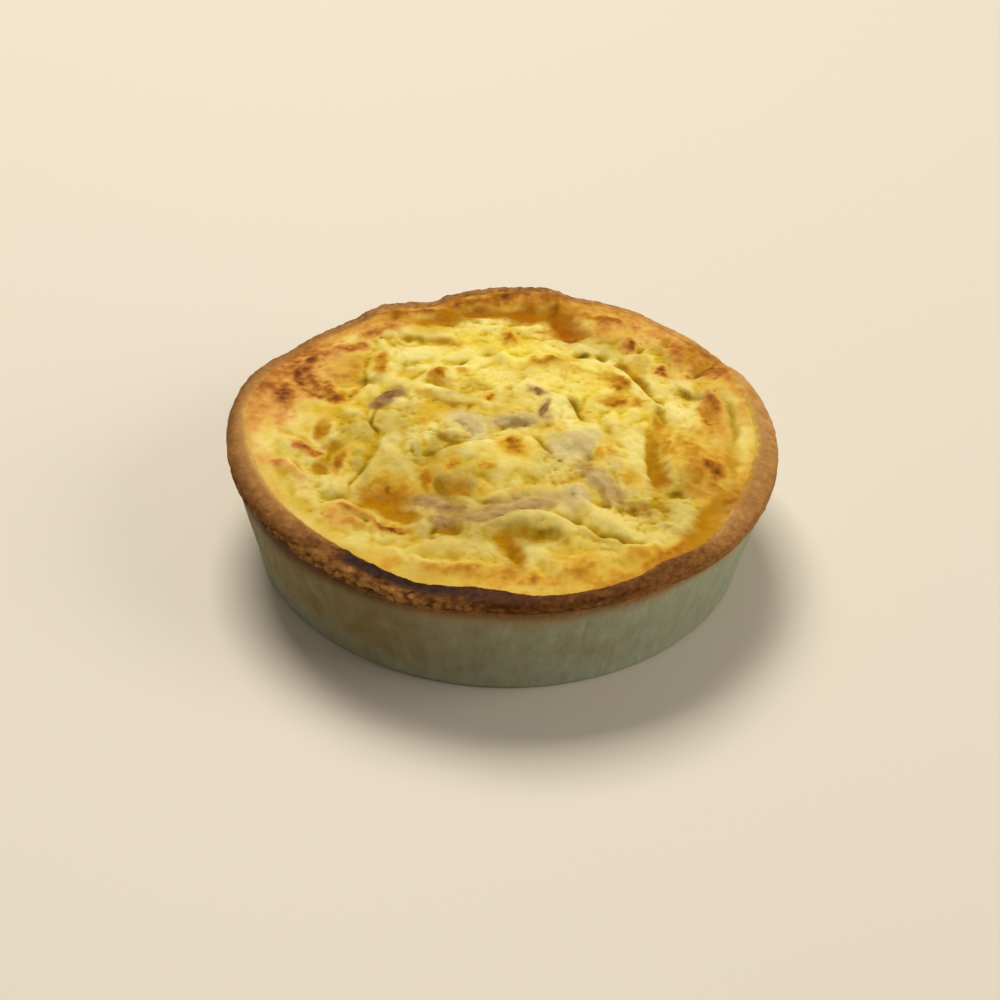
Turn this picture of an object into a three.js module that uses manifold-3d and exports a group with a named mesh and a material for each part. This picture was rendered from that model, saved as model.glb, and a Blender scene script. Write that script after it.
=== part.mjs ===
// A small deep quiche, 15 cm across. A straight-sided pastry case with a thick browned rim
// holds egg custard that has baked up into mounds, folds and pits round strips of ham.
// Millimetres, +Z up. The origin is the centre of the underside, and -Y is the front.
// Compass angles are in degrees, 0 at +X and 90 at +Y.

import * as THREE from "three";
import { SimplexNoise } from "three/addons/math/SimplexNoise.js";
import { mergeVertices } from "three/addons/utils/BufferGeometryUtils.js";
import Module from "manifold-3d";

// Pastry case
const baseRadius = 67.4;
const baseRounding = 1.4;
const shoulderRadius = 74.8;
const shoulderHeight = 31.6;
const overhang = 1;
const floorThickness = 5;
const innerFloorRadius = 62;
const rimRounding = 1.7;
const rimSteps = 6;
const caseSegments = 120;

// Usual height of the rim's crest, and how much of its rise and fall the shoulder below it takes up
const usualCrest = 35.1;
const shoulderFollows = 0.5;

// Least upright stretch between the shoulder and the rounded rim
const leastUpright = 0.3;

// Heights of the rows of points up the wall, and the height from which its ripple is full
const outerRows = [8, 20];
const innerRow = 20;
const fullRipple = 10;

// Unevenness of the crust: how far it departs, and how fine it is round the rim
const wallRipple = { size: 0.35, fineness: 6 };
const crestCrumbs = { size: 0.25, fineness: 9 };
const edgeCrumbs = { size: 0.4, fineness: 11 };
const shoulderCrumbs = { size: 0.7, fineness: 13 };

// Clear space between pieces that touch
const gap = 0.3;

// Custard
const custardLevel = 33.6;
const custardLumps = 0.45;
const lumpSize = 9;
const edgeBlend = 9;
const custardCells = 40;
const reliefDepth = 1.35;

// Ham
const hamRings = 7;
const hamSides = 8;
const hamUnevenness = 0.12;
const hamLumpSize = 3;

// Colours
const pastryColor = 0xb58a52;
const custardColor = 0xe6c868;
const hamColor = 0xb5917a;

// Height of the rim's crest above the underside, by compass angle
const crestHeights = [
  [-170, 35.3], [-118, 35.2], [-106, 33.8], [-90, 34.8], [-75, 34.4], [-56, 35], [-35, 33.4],
  [-20, 34.9], [24, 34.9], [33, 33], [44, 33.5], [51, 33.3], [60, 34], [68, 33.8], [74, 33.4],
  [81, 35.2], [90, 34.6], [97, 33.8], [104, 33.2], [109, 31.6], [116, 33], [122, 33.9],
  [130, 32.7], [148, 32.9], [158, 34], [168, 35.4],
];

// How far the widest line of the crust has drawn in from the shoulder radius
const shoulderShrinkage = [[-180, 0], [96, 0], [108, 1.8], [118, 1.4], [132, 2.9], [148, 2.4], [163, 0.3]];

// Radius of the rim's inner edge
const innerRadii = [
  [-165, 66.7], [-130, 66.9], [-110, 68.2], [-95, 67.3], [-80, 70.4], [-62, 70.2], [-52, 68.3],
  [-42, 68.8], [-24, 67.1], [4, 68.2], [22, 69.5], [36, 70.6], [60, 71], [78, 70.2], [92, 69.8],
  [104, 68], [115, 67.6], [130, 66.4], [145, 66.4], [160, 67.6], [178, 68.5],
];

// How far the custard's edge lies below the crest
const custardDrops = [
  [-160, 0.9], [-120, 1.2], [-85, 1.4], [-45, 1.5], [0, 1.6], [35, 0.9], [70, 0.7], [120, 0.6], [160, 0.5],
];

// Mounds and hollows of the custard: centre, half sizes, turn and height
const swells = [
  { x: 0, y: 4, long: 34, wide: 26, turn: 0, rise: 0.9 },
  { x: -22, y: 12, long: 12, wide: 5, turn: -22, rise: 0.8 },
  { x: -3, y: -17, long: 13, wide: 9, turn: -10, rise: 1.3 },
  { x: 5, y: 3, long: 10, wide: 4, turn: 12, rise: 0.7 },
  { x: 14, y: 10, long: 5, wide: 7, turn: 10, rise: 0.8 },
  { x: 19, y: -6, long: 6, wide: 6, turn: 0, rise: 1.1 },
  { x: 25, y: -20, long: 5, wide: 7, turn: 25, rise: 0.9 },
  { x: 6, y: -40, long: 13, wide: 4, turn: 14, rise: 1.3 },
  { x: 12, y: -44, long: 6, wide: 4, turn: 10, rise: -1.7 },
  { x: 27, y: -40, long: 10, wide: 4, turn: -35, rise: 0.7 },
  { x: 36, y: -30, long: 6, wide: 5, turn: 0, rise: 0.9 },
  { x: 47, y: -32, long: 5, wide: 6, turn: 0, rise: 1 },
  { x: 53, y: -15, long: 9, wide: 9, turn: 0, rise: 1.8 },
  { x: 46, y: -25, long: 4, wide: 4, turn: 0, rise: -1.3 },
  { x: 40.5, y: -17, long: 2.6, wide: 8, turn: 0, rise: -1.4 },
  { x: 27, y: 22, long: 10, wide: 7, turn: 0, rise: 0.7 },
  { x: 12, y: 34, long: 7, wide: 5, turn: 0, rise: 1.1 },
  { x: 38, y: 27, long: 3, wide: 6, turn: 20, rise: -1.2 },
  { x: 36, y: 44, long: 3, wide: 4, turn: 0, rise: 1.6 },
  { x: 57, y: 19, long: 4, wide: 6, turn: 0, rise: -0.9 },
  { x: 16, y: 54, long: 6, wide: 6, turn: 0, rise: -1.8 },
  { x: 3, y: 59, long: 7, wide: 4, turn: 0, rise: -1.2 },
  { x: -25, y: 58, long: 8, wide: 4, turn: 15, rise: 0.8 },
  { x: -44, y: 37, long: 8, wide: 6, turn: 30, rise: 0.9 },
  { x: -50, y: 22, long: 11, wide: 10, turn: 0, rise: 1.4 },
  { x: -39, y: 20, long: 4, wide: 2.6, turn: 20, rise: -1.2 },
  { x: -30, y: 1, long: 4, wide: 6, turn: 0, rise: 0.9 },
  { x: -29, y: -12, long: 4, wide: 6, turn: 0, rise: 0.7 },
  { x: -16, y: -6, long: 5, wide: 3.5, turn: -20, rise: -1.1 },
  { x: -15, y: -28, long: 6, wide: 4, turn: 0, rise: -1.2 },
  { x: -32, y: -33, long: 6.5, wide: 5.5, turn: -20, rise: -2.3 },
  { x: -32, y: -42, long: 10, wide: 2.6, turn: -24, rise: 1.4 },
  { x: -13, y: -44, long: 3.5, wide: 5, turn: 20, rise: -1.7 },
  { x: -20, y: -41, long: 3.5, wide: 5, turn: 25, rise: 0.9 },
  { x: -12, y: -51, long: 6, wide: 3, turn: 10, rise: 0.8 },
  { x: 3, y: -52, long: 2.6, wide: 6, turn: 20, rise: -1.4 },
  { x: 22, y: -57, long: 8, wide: 4, turn: 10, rise: 0.7 },
  { x: -46, y: -14, long: 5, wide: 10, turn: -15, rise: -0.9 },
];

// Creases and folds of the custard, each a line of points
const creases = [
  { line: [[-34.5, 12], [-35.7, 0], [-32.6, -5], [-33.8, -16], [-39.5, -30]], wide: 2.5, deep: 1.8 },
  { line: [[-27.6, 21.4], [-24.4, 25.1], [-19, 28]], wide: 2.2, deep: 0.9 },
  { line: [[9.9, 15.9], [16.4, 15.6], [19.2, 8.1], [23.3, 4]], wide: 2.4, deep: 1.5 },
  { line: [[-8, -44], [-1.2, -40.6], [3.8, -38.8], [14.3, -36.8]], wide: 2.4, deep: 1.7 },
  { line: [[17, -38], [24, -42.3], [27.1, -46.1], [36.3, -48.4]], wide: 2.4, deep: 1.3 },
  { line: [[-38, -40], [-30, -45.5], [-23, -47.5]], wide: 2.4, deep: 1.3 },
  { line: [[31, 34], [34.4, 29], [38.6, 21.6], [42, 16]], wide: 2.6, deep: 1.5 },
  { line: [[39.9, 5], [38.2, -5.4], [39.4, -14]], wide: 2.6, deep: 1.3 },
];

// Pieces of ham: the line that each follows, its width and thickness, and how far it stands proud
const hamPieces = {
  ham_back_left: { line: [[-34.6, 8.6], [-31.6, 12.4], [-28.2, 15.6]], wide: 5.6, thick: 4.4, proud: 1 },
  ham_middle: { line: [[-13, 4.2], [-8.4, 1.4], [-7.2, -4]], wide: 6.4, thick: 3.4, proud: 0.7 },
  ham_ribbon: { line: [[-3, 1.8], [3, 2.6], [9, 4.6]], wide: 4.8, thick: 3.2, proud: 0.7 },
  ham_nub: { line: [[7.8, 18.9], [9, 17.4], [10.2, 15.8]], wide: 3.2, thick: 3, proud: 0.8 },
  ham_sliver: { line: [[10.2, 5.4], [11.2, 8.2], [11.9, 11.2]], wide: 2.4, thick: 2.4, proud: 0.6 },
  ham_right: { line: [[15.6, -8], [20.4, -5.6], [24.2, -1.6]], wide: 7.4, thick: 4, proud: 0.7 },
  ham_fold: { line: [[22.2, -15.6], [25.6, -20.6], [30.6, -27.4]], wide: 6.6, thick: 4, proud: 0.8 },
  ham_tab: { line: [[18.4, -26.2], [20.8, -28.2], [21, -31.6]], wide: 5, thick: 3, proud: 0.6 },
  ham_strip: { line: [[-7.4, -39.6], [0, -36.8], [8, -33.6], [15.8, -31]], wide: 7.4, thick: 4.4, proud: 1 },
  ham_curl: { line: [[-22.4, -32.6], [-17, -33.8], [-12, -35.6]], wide: 6, thick: 3.6, proud: 0.8 },
  ham_tip: { line: [[-17.2, -41.4], [-14.6, -41.2], [-12, -41.8]], wide: 4.2, thick: 3, proud: 0.6 },
};

// Noise with a fixed start, so that every build is the same
let seed = 17;
const noise = new SimplexNoise({
  random() {
    seed = (seed * 16807) % 2147483647;
    return seed / 2147483647;
  },
});

const smooth = (t) => t * t * (3 - 2 * t);
const clamp01 = (t) => Math.min(1, Math.max(0, t));
const wrap = THREE.MathUtils.euclideanModulo;
const radians = THREE.MathUtils.degToRad;

// Value at a compass angle, eased between the entries of a list that runs once round
function roundTheRim(list, degrees) {
  const turn = wrap(degrees + 180, 360) - 180;
  const next = list.findIndex(([at]) => at > turn);
  const [fromAt, from] = list[next <= 0 ? list.length - 1 : next - 1];
  const [toAt, to] = list[Math.max(next, 0)];
  return from + (to - from) * smooth(wrap(turn - fromAt, 360) / wrap(toAt - fromAt, 360));
}

const crestAt = (degrees) => roundTheRim(crestHeights, degrees);
const shoulderAt = (degrees) => shoulderRadius - roundTheRim(shoulderShrinkage, degrees);

// How far the crust departs from its plain form at a compass angle
function uneven({ size, fineness }, degrees) {
  const a = radians(degrees);
  return size * noise.noise3d(fineness * Math.cos(a), fineness * Math.sin(a), fineness);
}

// Radius of the case's inner side, which tapers down to its floor
function innerRadius(degrees, z) {
  const up = clamp01((z - floorThickness) / (shoulderHeight - floorThickness));
  return THREE.MathUtils.lerp(innerFloorRadius, roundTheRim(innerRadii, degrees), up);
}

// Radius of the case's outer side, with the slight ripple of shaped pastry
function outerRadius(degrees, z) {
  const up = z / shoulderHeight;
  const plain = THREE.MathUtils.lerp(baseRadius, shoulderAt(degrees) - overhang, up);
  return plain + uneven(wallRipple, degrees) * clamp01(z / fullRipple);
}

// Section of the case: out under the base, up the wall, over the rim and down the inner side
function caseSection(degrees) {
  const crest = crestAt(degrees) + uneven(crestCrumbs, degrees);
  const shoulder = shoulderAt(degrees) + uneven(edgeCrumbs, degrees);
  const inner = roundTheRim(innerRadii, degrees);
  const usualLip = shoulderHeight + shoulderFollows * (crest - usualCrest) + uneven(shoulderCrumbs, degrees);
  const lip = Math.min(usualLip, crest - rimRounding - leastUpright);
  const bevel = baseRounding * (1 - Math.SQRT1_2);
  const rim = Array.from({ length: rimSteps + 1 }, (_, k) => {
    const a = (Math.PI * k) / rimSteps;
    const r = (shoulder + inner + (shoulder - inner) * Math.cos(a)) / 2;
    return [r, crest - rimRounding * (1 - Math.sin(a))];
  });
  return [
    [0, 0],
    [baseRadius - baseRounding, 0],
    [baseRadius - bevel, bevel],
    ...outerRows.map((z) => [outerRadius(degrees, z), z]),
    [outerRadius(degrees, lip - overhang), lip - overhang],
    [shoulder, lip],
    ...rim,
    [innerRadius(degrees, innerRow), innerRow],
    [innerRadius(degrees, floorThickness), floorThickness],
    [0, floorThickness],
  ];
}

// Solid turned about the upright axis, whose section changes with the compass angle
function turnedSolid(section, segments) {
  const profile = section(0).map(([r, z]) => new THREE.Vector2(r, z));
  const geometry = new THREE.LatheGeometry(profile, segments);
  const place = geometry.attributes.position;
  for (let i = 0; i <= segments; i++) {
    const degrees = (360 * (i % segments)) / segments;
    const a = radians(degrees);
    section(degrees).forEach(([r, z], row) => {
      place.setXYZ(i * profile.length + row, r * Math.cos(a), r * Math.sin(a), z);
    });
  }
  return joined(geometry);
}

// Vertices at the same place become one, and triangles without area go
function joined(geometry) {
  geometry.deleteAttribute("normal");
  geometry.deleteAttribute("uv");
  const whole = mergeVertices(geometry, 1e-4);
  const corners = Array.from(whole.index.array);
  const kept = [];
  for (let i = 0; i < corners.length; i += 3) {
    const [a, b, c] = corners.slice(i, i + 3);
    if (a !== b && b !== c && c !== a) {
      kept.push(a, b, c);
    }
  }
  whole.setIndex(kept);
  return whole;
}

// Rise of a swell at a point: a soft bell, long one way and wide the other
function swellRise({ x, y, long, wide, turn, rise }, px, py) {
  const a = radians(turn);
  const along = ((px - x) * Math.cos(a) + (py - y) * Math.sin(a)) / long;
  const across = ((py - y) * Math.cos(a) - (px - x) * Math.sin(a)) / wide;
  return rise * Math.exp(-(along * along + across * across));
}

// Distance from a point to a line of points
function distanceTo(line, px, py) {
  let nearest = Infinity;
  for (let i = 1; i < line.length; i++) {
    const [ax, ay] = line[i - 1];
    const [bx, by] = line[i];
    const t = clamp01(((px - ax) * (bx - ax) + (py - ay) * (by - ay)) / ((bx - ax) ** 2 + (by - ay) ** 2));
    nearest = Math.min(nearest, Math.hypot(px - ax - t * (bx - ax), py - ay - t * (by - ay)));
  }
  return nearest;
}

// Height of the custard's top, which ends against the rim
function custardTop(x, y) {
  const degrees = THREE.MathUtils.radToDeg(Math.atan2(y, x));
  const edge = crestAt(degrees) - roundTheRim(custardDrops, degrees);
  const fromRim = roundTheRim(innerRadii, degrees) - Math.hypot(x, y);
  let z = custardLevel + custardLumps * noise.noise(x / lumpSize, y / lumpSize);
  for (const swell of swells) {
    z += reliefDepth * swellRise(swell, x, y);
  }
  for (const { line, wide, deep } of creases) {
    z -= reliefDepth * deep * Math.exp(-((distanceTo(line, x, y) / wide) ** 2));
  }
  return THREE.MathUtils.lerp(edge, z, smooth(clamp01(fromRim / edgeBlend)));
}

// Point of the unit disc for a point of the square from -1 to 1: its squares become rings
function discPoint(u, v) {
  const ring = Math.max(Math.abs(u), Math.abs(v));
  if (ring === 0) {
    return [0, 0];
  }
  const flat = Math.abs(u) > Math.abs(v);
  const a = flat ? (Math.PI / 4) * (v / u) : Math.PI / 2 - (Math.PI / 4) * (u / v);
  const side = (flat ? u : v) < 0 ? -1 : 1;
  return [side * ring * Math.cos(a), side * ring * Math.sin(a)];
}

// Custard as one solid: an even net over the top, a side wall inside the case, and a flat underside
function custardGeometry() {
  const n = custardCells;
  const bottom = floorThickness + gap;
  const points = [];
  const faces = [];
  for (let j = 0; j <= n; j++) {
    for (let i = 0; i <= n; i++) {
      const [dx, dy] = discPoint((2 * i) / n - 1, (2 * j) / n - 1);
      const degrees = THREE.MathUtils.radToDeg(Math.atan2(dy, dx));
      const reach = roundTheRim(innerRadii, degrees) - gap;
      points.push(dx * reach, dy * reach, custardTop(dx * reach, dy * reach));
    }
  }
  const at = (i, j) => j * (n + 1) + i;
  const height = (index) => points[index * 3 + 2];
  for (let j = 0; j < n; j++) {
    for (let i = 0; i < n; i++) {
      const [a, b, c, d] = [at(i, j), at(i + 1, j), at(i + 1, j + 1), at(i, j + 1)];
      const alongFold = Math.abs(height(a) - height(c)) < Math.abs(height(b) - height(d));
      faces.push(...(alongFold ? [a, b, c, a, c, d] : [a, b, d, b, c, d]));
    }
  }
  const sides = [(k) => at(k, 0), (k) => at(n, k), (k) => at(n - k, n), (k) => at(0, n - k)];
  const border = sides.flatMap((side) => Array.from({ length: n }, (_, k) => side(k)));
  const lower = points.length / 3;
  for (const index of border) {
    const [x, y] = [points[index * 3], points[index * 3 + 1]];
    const shrink = (innerFloorRadius - gap) / Math.hypot(x, y);
    points.push(x * shrink, y * shrink, bottom);
  }
  const centre = points.length / 3;
  points.push(0, 0, bottom);
  border.forEach((upper, k) => {
    const next = (k + 1) % border.length;
    faces.push(upper, lower + k, border[next], border[next], lower + k, lower + next);
    faces.push(lower + k, centre, lower + next);
  });
  const geometry = new THREE.BufferGeometry();
  geometry.setAttribute("position", new THREE.Float32BufferAttribute(points, 3));
  geometry.setIndex(faces);
  return geometry;
}

// Piece of ham: rings along its line with rounded ends, part sunk in the custard.
// A margin makes the pocket that it lies in.
function hamGeometry({ line, wide, thick, proud }, margin) {
  const curve = new THREE.CatmullRomCurve3(line.map(([x, y]) => new THREE.Vector3(x, y, 0)));
  const rows = [];
  for (let k = 0; k <= hamRings; k++) {
    const t = k / hamRings;
    const middle = curve.getPoint(t);
    const ahead = curve.getTangent(t);
    const side = new THREE.Vector3(-ahead.y, ahead.x, 0);
    const fullness = Math.sqrt(1 - Math.abs(2 * t - 1) ** 3);
    const z = custardTop(middle.x, middle.y) + proud - thick / 2;
    const overshoot = k === 0 ? -margin : k === hamRings ? margin : 0;
    rows.push({ middle: middle.addScaledVector(ahead, overshoot).setZ(z), side, fullness });
  }
  const points = [];
  const faces = [];
  for (const { middle, side, fullness } of rows.slice(1, -1)) {
    for (let s = 0; s < hamSides; s++) {
      const a = (2 * Math.PI * s) / hamSides;
      const [nx, ny] = [middle.x / hamLumpSize + Math.cos(a), middle.y / hamLumpSize + Math.sin(a)];
      const bulge = 1 + hamUnevenness * noise.noise(nx, ny);
      const across = (fullness * bulge * wide) / 2 + margin;
      const upward = (fullness * bulge * thick) / 2 + margin;
      points.push(
        middle.x + side.x * across * Math.cos(a),
        middle.y + side.y * across * Math.cos(a),
        middle.z + upward * Math.sin(a),
      );
    }
  }
  const first = points.length / 3;
  for (const { middle } of [rows[0], rows[hamRings]]) {
    points.push(middle.x, middle.y, middle.z);
  }
  for (let s = 0; s < hamSides; s++) {
    const next = (s + 1) % hamSides;
    for (let r = 0; r < hamRings - 2; r++) {
      const [here, there] = [r * hamSides, (r + 1) * hamSides];
      faces.push(here + s, here + next, there + s, here + next, there + next, there + s);
    }
    const last = (hamRings - 2) * hamSides;
    faces.push(first, next, s, first + 1, last + s, last + next);
  }
  const geometry = new THREE.BufferGeometry();
  geometry.setAttribute("position", new THREE.Float32BufferAttribute(points, 3));
  geometry.setIndex(faces);
  return geometry;
}

const wasm = await Module();
wasm.setup();

function toManifold(geometry) {
  return new wasm.Manifold(
    new wasm.Mesh({
      numProp: 3,
      vertProperties: new Float32Array(geometry.attributes.position.array),
      triVerts: new Uint32Array(geometry.index.array),
    }),
  );
}

function toGeometry(solid) {
  const mesh = solid.getMesh();
  const geometry = new THREE.BufferGeometry();
  geometry.setAttribute("position", new THREE.BufferAttribute(new Float32Array(mesh.vertProperties), 3));
  geometry.setIndex(Array.from(mesh.triVerts));
  return geometry;
}

const quiche = new THREE.Group();

function add(name, geometry, color, roughness) {
  const mesh = new THREE.Mesh(geometry, new THREE.MeshStandardMaterial({ color, roughness, metalness: 0 }));
  mesh.name = name;
  quiche.add(mesh);
}

add("pastry_case", turnedSolid(caseSection, caseSegments), pastryColor, 0.85);

let custard = toManifold(custardGeometry());
for (const [name, piece] of Object.entries(hamPieces)) {
  add(name, hamGeometry(piece, 0), hamColor, 0.45);
  custard = custard.subtract(toManifold(hamGeometry(piece, gap)));
}
add("filling", toGeometry(custard), custardColor, 0.5);

export default quiche;
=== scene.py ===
"""A small deep quiche: pale pastry wall, browned crumbly rim, folded custard and strips of ham.

Shapes are worked out in millimetres, in the frame of the model, and become metres when a mesh is made.
Compass angles are in degrees, 0 at +X and 90 at +Y, and -Y is the front.
"""

import math
from types import SimpleNamespace

import bpy
import numpy as np
from mathutils import Matrix, Vector


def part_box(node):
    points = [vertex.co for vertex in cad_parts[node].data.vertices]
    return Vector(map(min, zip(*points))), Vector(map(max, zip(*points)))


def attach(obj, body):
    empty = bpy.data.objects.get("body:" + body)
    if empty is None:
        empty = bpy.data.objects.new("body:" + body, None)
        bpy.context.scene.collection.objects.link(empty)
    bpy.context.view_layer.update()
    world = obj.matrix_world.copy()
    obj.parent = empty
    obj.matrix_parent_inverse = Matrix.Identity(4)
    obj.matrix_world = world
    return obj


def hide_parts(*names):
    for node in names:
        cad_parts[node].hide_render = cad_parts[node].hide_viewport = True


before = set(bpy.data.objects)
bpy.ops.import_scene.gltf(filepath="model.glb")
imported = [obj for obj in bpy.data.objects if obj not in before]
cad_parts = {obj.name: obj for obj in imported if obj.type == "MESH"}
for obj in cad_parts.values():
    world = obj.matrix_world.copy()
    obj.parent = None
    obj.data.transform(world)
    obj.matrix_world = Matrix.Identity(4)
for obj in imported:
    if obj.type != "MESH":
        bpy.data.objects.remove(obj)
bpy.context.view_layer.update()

MM = 0.001

# Widest radius of the case, from the frame, less room for the crags of the rim
CRAG_ROOM = 0.3
case_low, case_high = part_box("pastry_case")
SHOULDER_RADIUS = (case_high.x - case_low.x) / 2 / MM - CRAG_ROOM

# Pastry case
BASE_RADIUS = 67.4
BASE_ROUNDING = 1.4
SHOULDER_HEIGHT = 31.6
FLOOR_THICKNESS = 5
INNER_FLOOR_RADIUS = 62
RIM_ROUNDING = 1.7

# Usual height of the crest, how much of its rise and fall the shoulder takes up, and the upright between
USUAL_CREST = 35.1
LIP_SHARE = 0.5
LEAST_UPRIGHT = 0.3

# Custard: level of its middle, how strong its relief is, and how far in from the rim it settles to the edge
CUSTARD_LEVEL = 33.6
RELIEF_DEPTH = 1.35
EDGE_BLEND = 7

# How far the custard's edge runs into the rim, and its gap to the pastry below
EDGE_OVERLAP = 0.3
FLOOR_GAP = 0.3

# Height of the rim's crest above the underside, by compass angle
CREST_HEIGHTS = [
    (-170, 35.3), (-118, 35.2), (-106, 33.8), (-90, 34.8), (-75, 34.4), (-56, 35), (-35, 33.4), (-20, 34.9),
    (24, 34.9), (33, 33), (44, 33.5), (51, 33.3), (60, 34), (68, 33.8), (74, 33.4), (81, 35.2), (90, 34.6),
    (97, 33.8), (104, 33.2), (109, 31.6), (116, 33), (122, 33.9), (130, 32.7), (148, 32.9), (158, 34),
    (168, 35.4),
]

# How far the widest line of the crust has drawn in
SHOULDER_SHRINKAGE = [
    (-180, 0), (96, 0), (108, 1.8), (118, 1.4), (132, 2.9), (148, 2.4), (163, 0.3),
]

# Radius of the rim's inner edge
INNER_RADII = [
    (-165, 66.7), (-130, 66.9), (-110, 68.2), (-95, 67.3), (-80, 70.4), (-62, 70.2), (-52, 68.3),
    (-42, 68.8), (-24, 67.1), (4, 68.2), (22, 69.5), (36, 70.6), (60, 71), (78, 70.2), (92, 69.8),
    (104, 68), (115, 67.6), (130, 66.4), (145, 66.4), (160, 67.6), (178, 68.5),
]

# How far the custard's edge lies below the crest
CUSTARD_DROPS = [
    (-172, 0.35), (-150, 0.45), (-128, 0.9), (-105, 1.3), (-45, 1.4), (-15, 1.2), (8, 0.7), (35, 0.45),
    (70, 0.4), (120, 0.35), (165, 0.35),
]

# Tables of places hold x, y, half length, half width and strength, and the turn where there is one.

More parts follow.
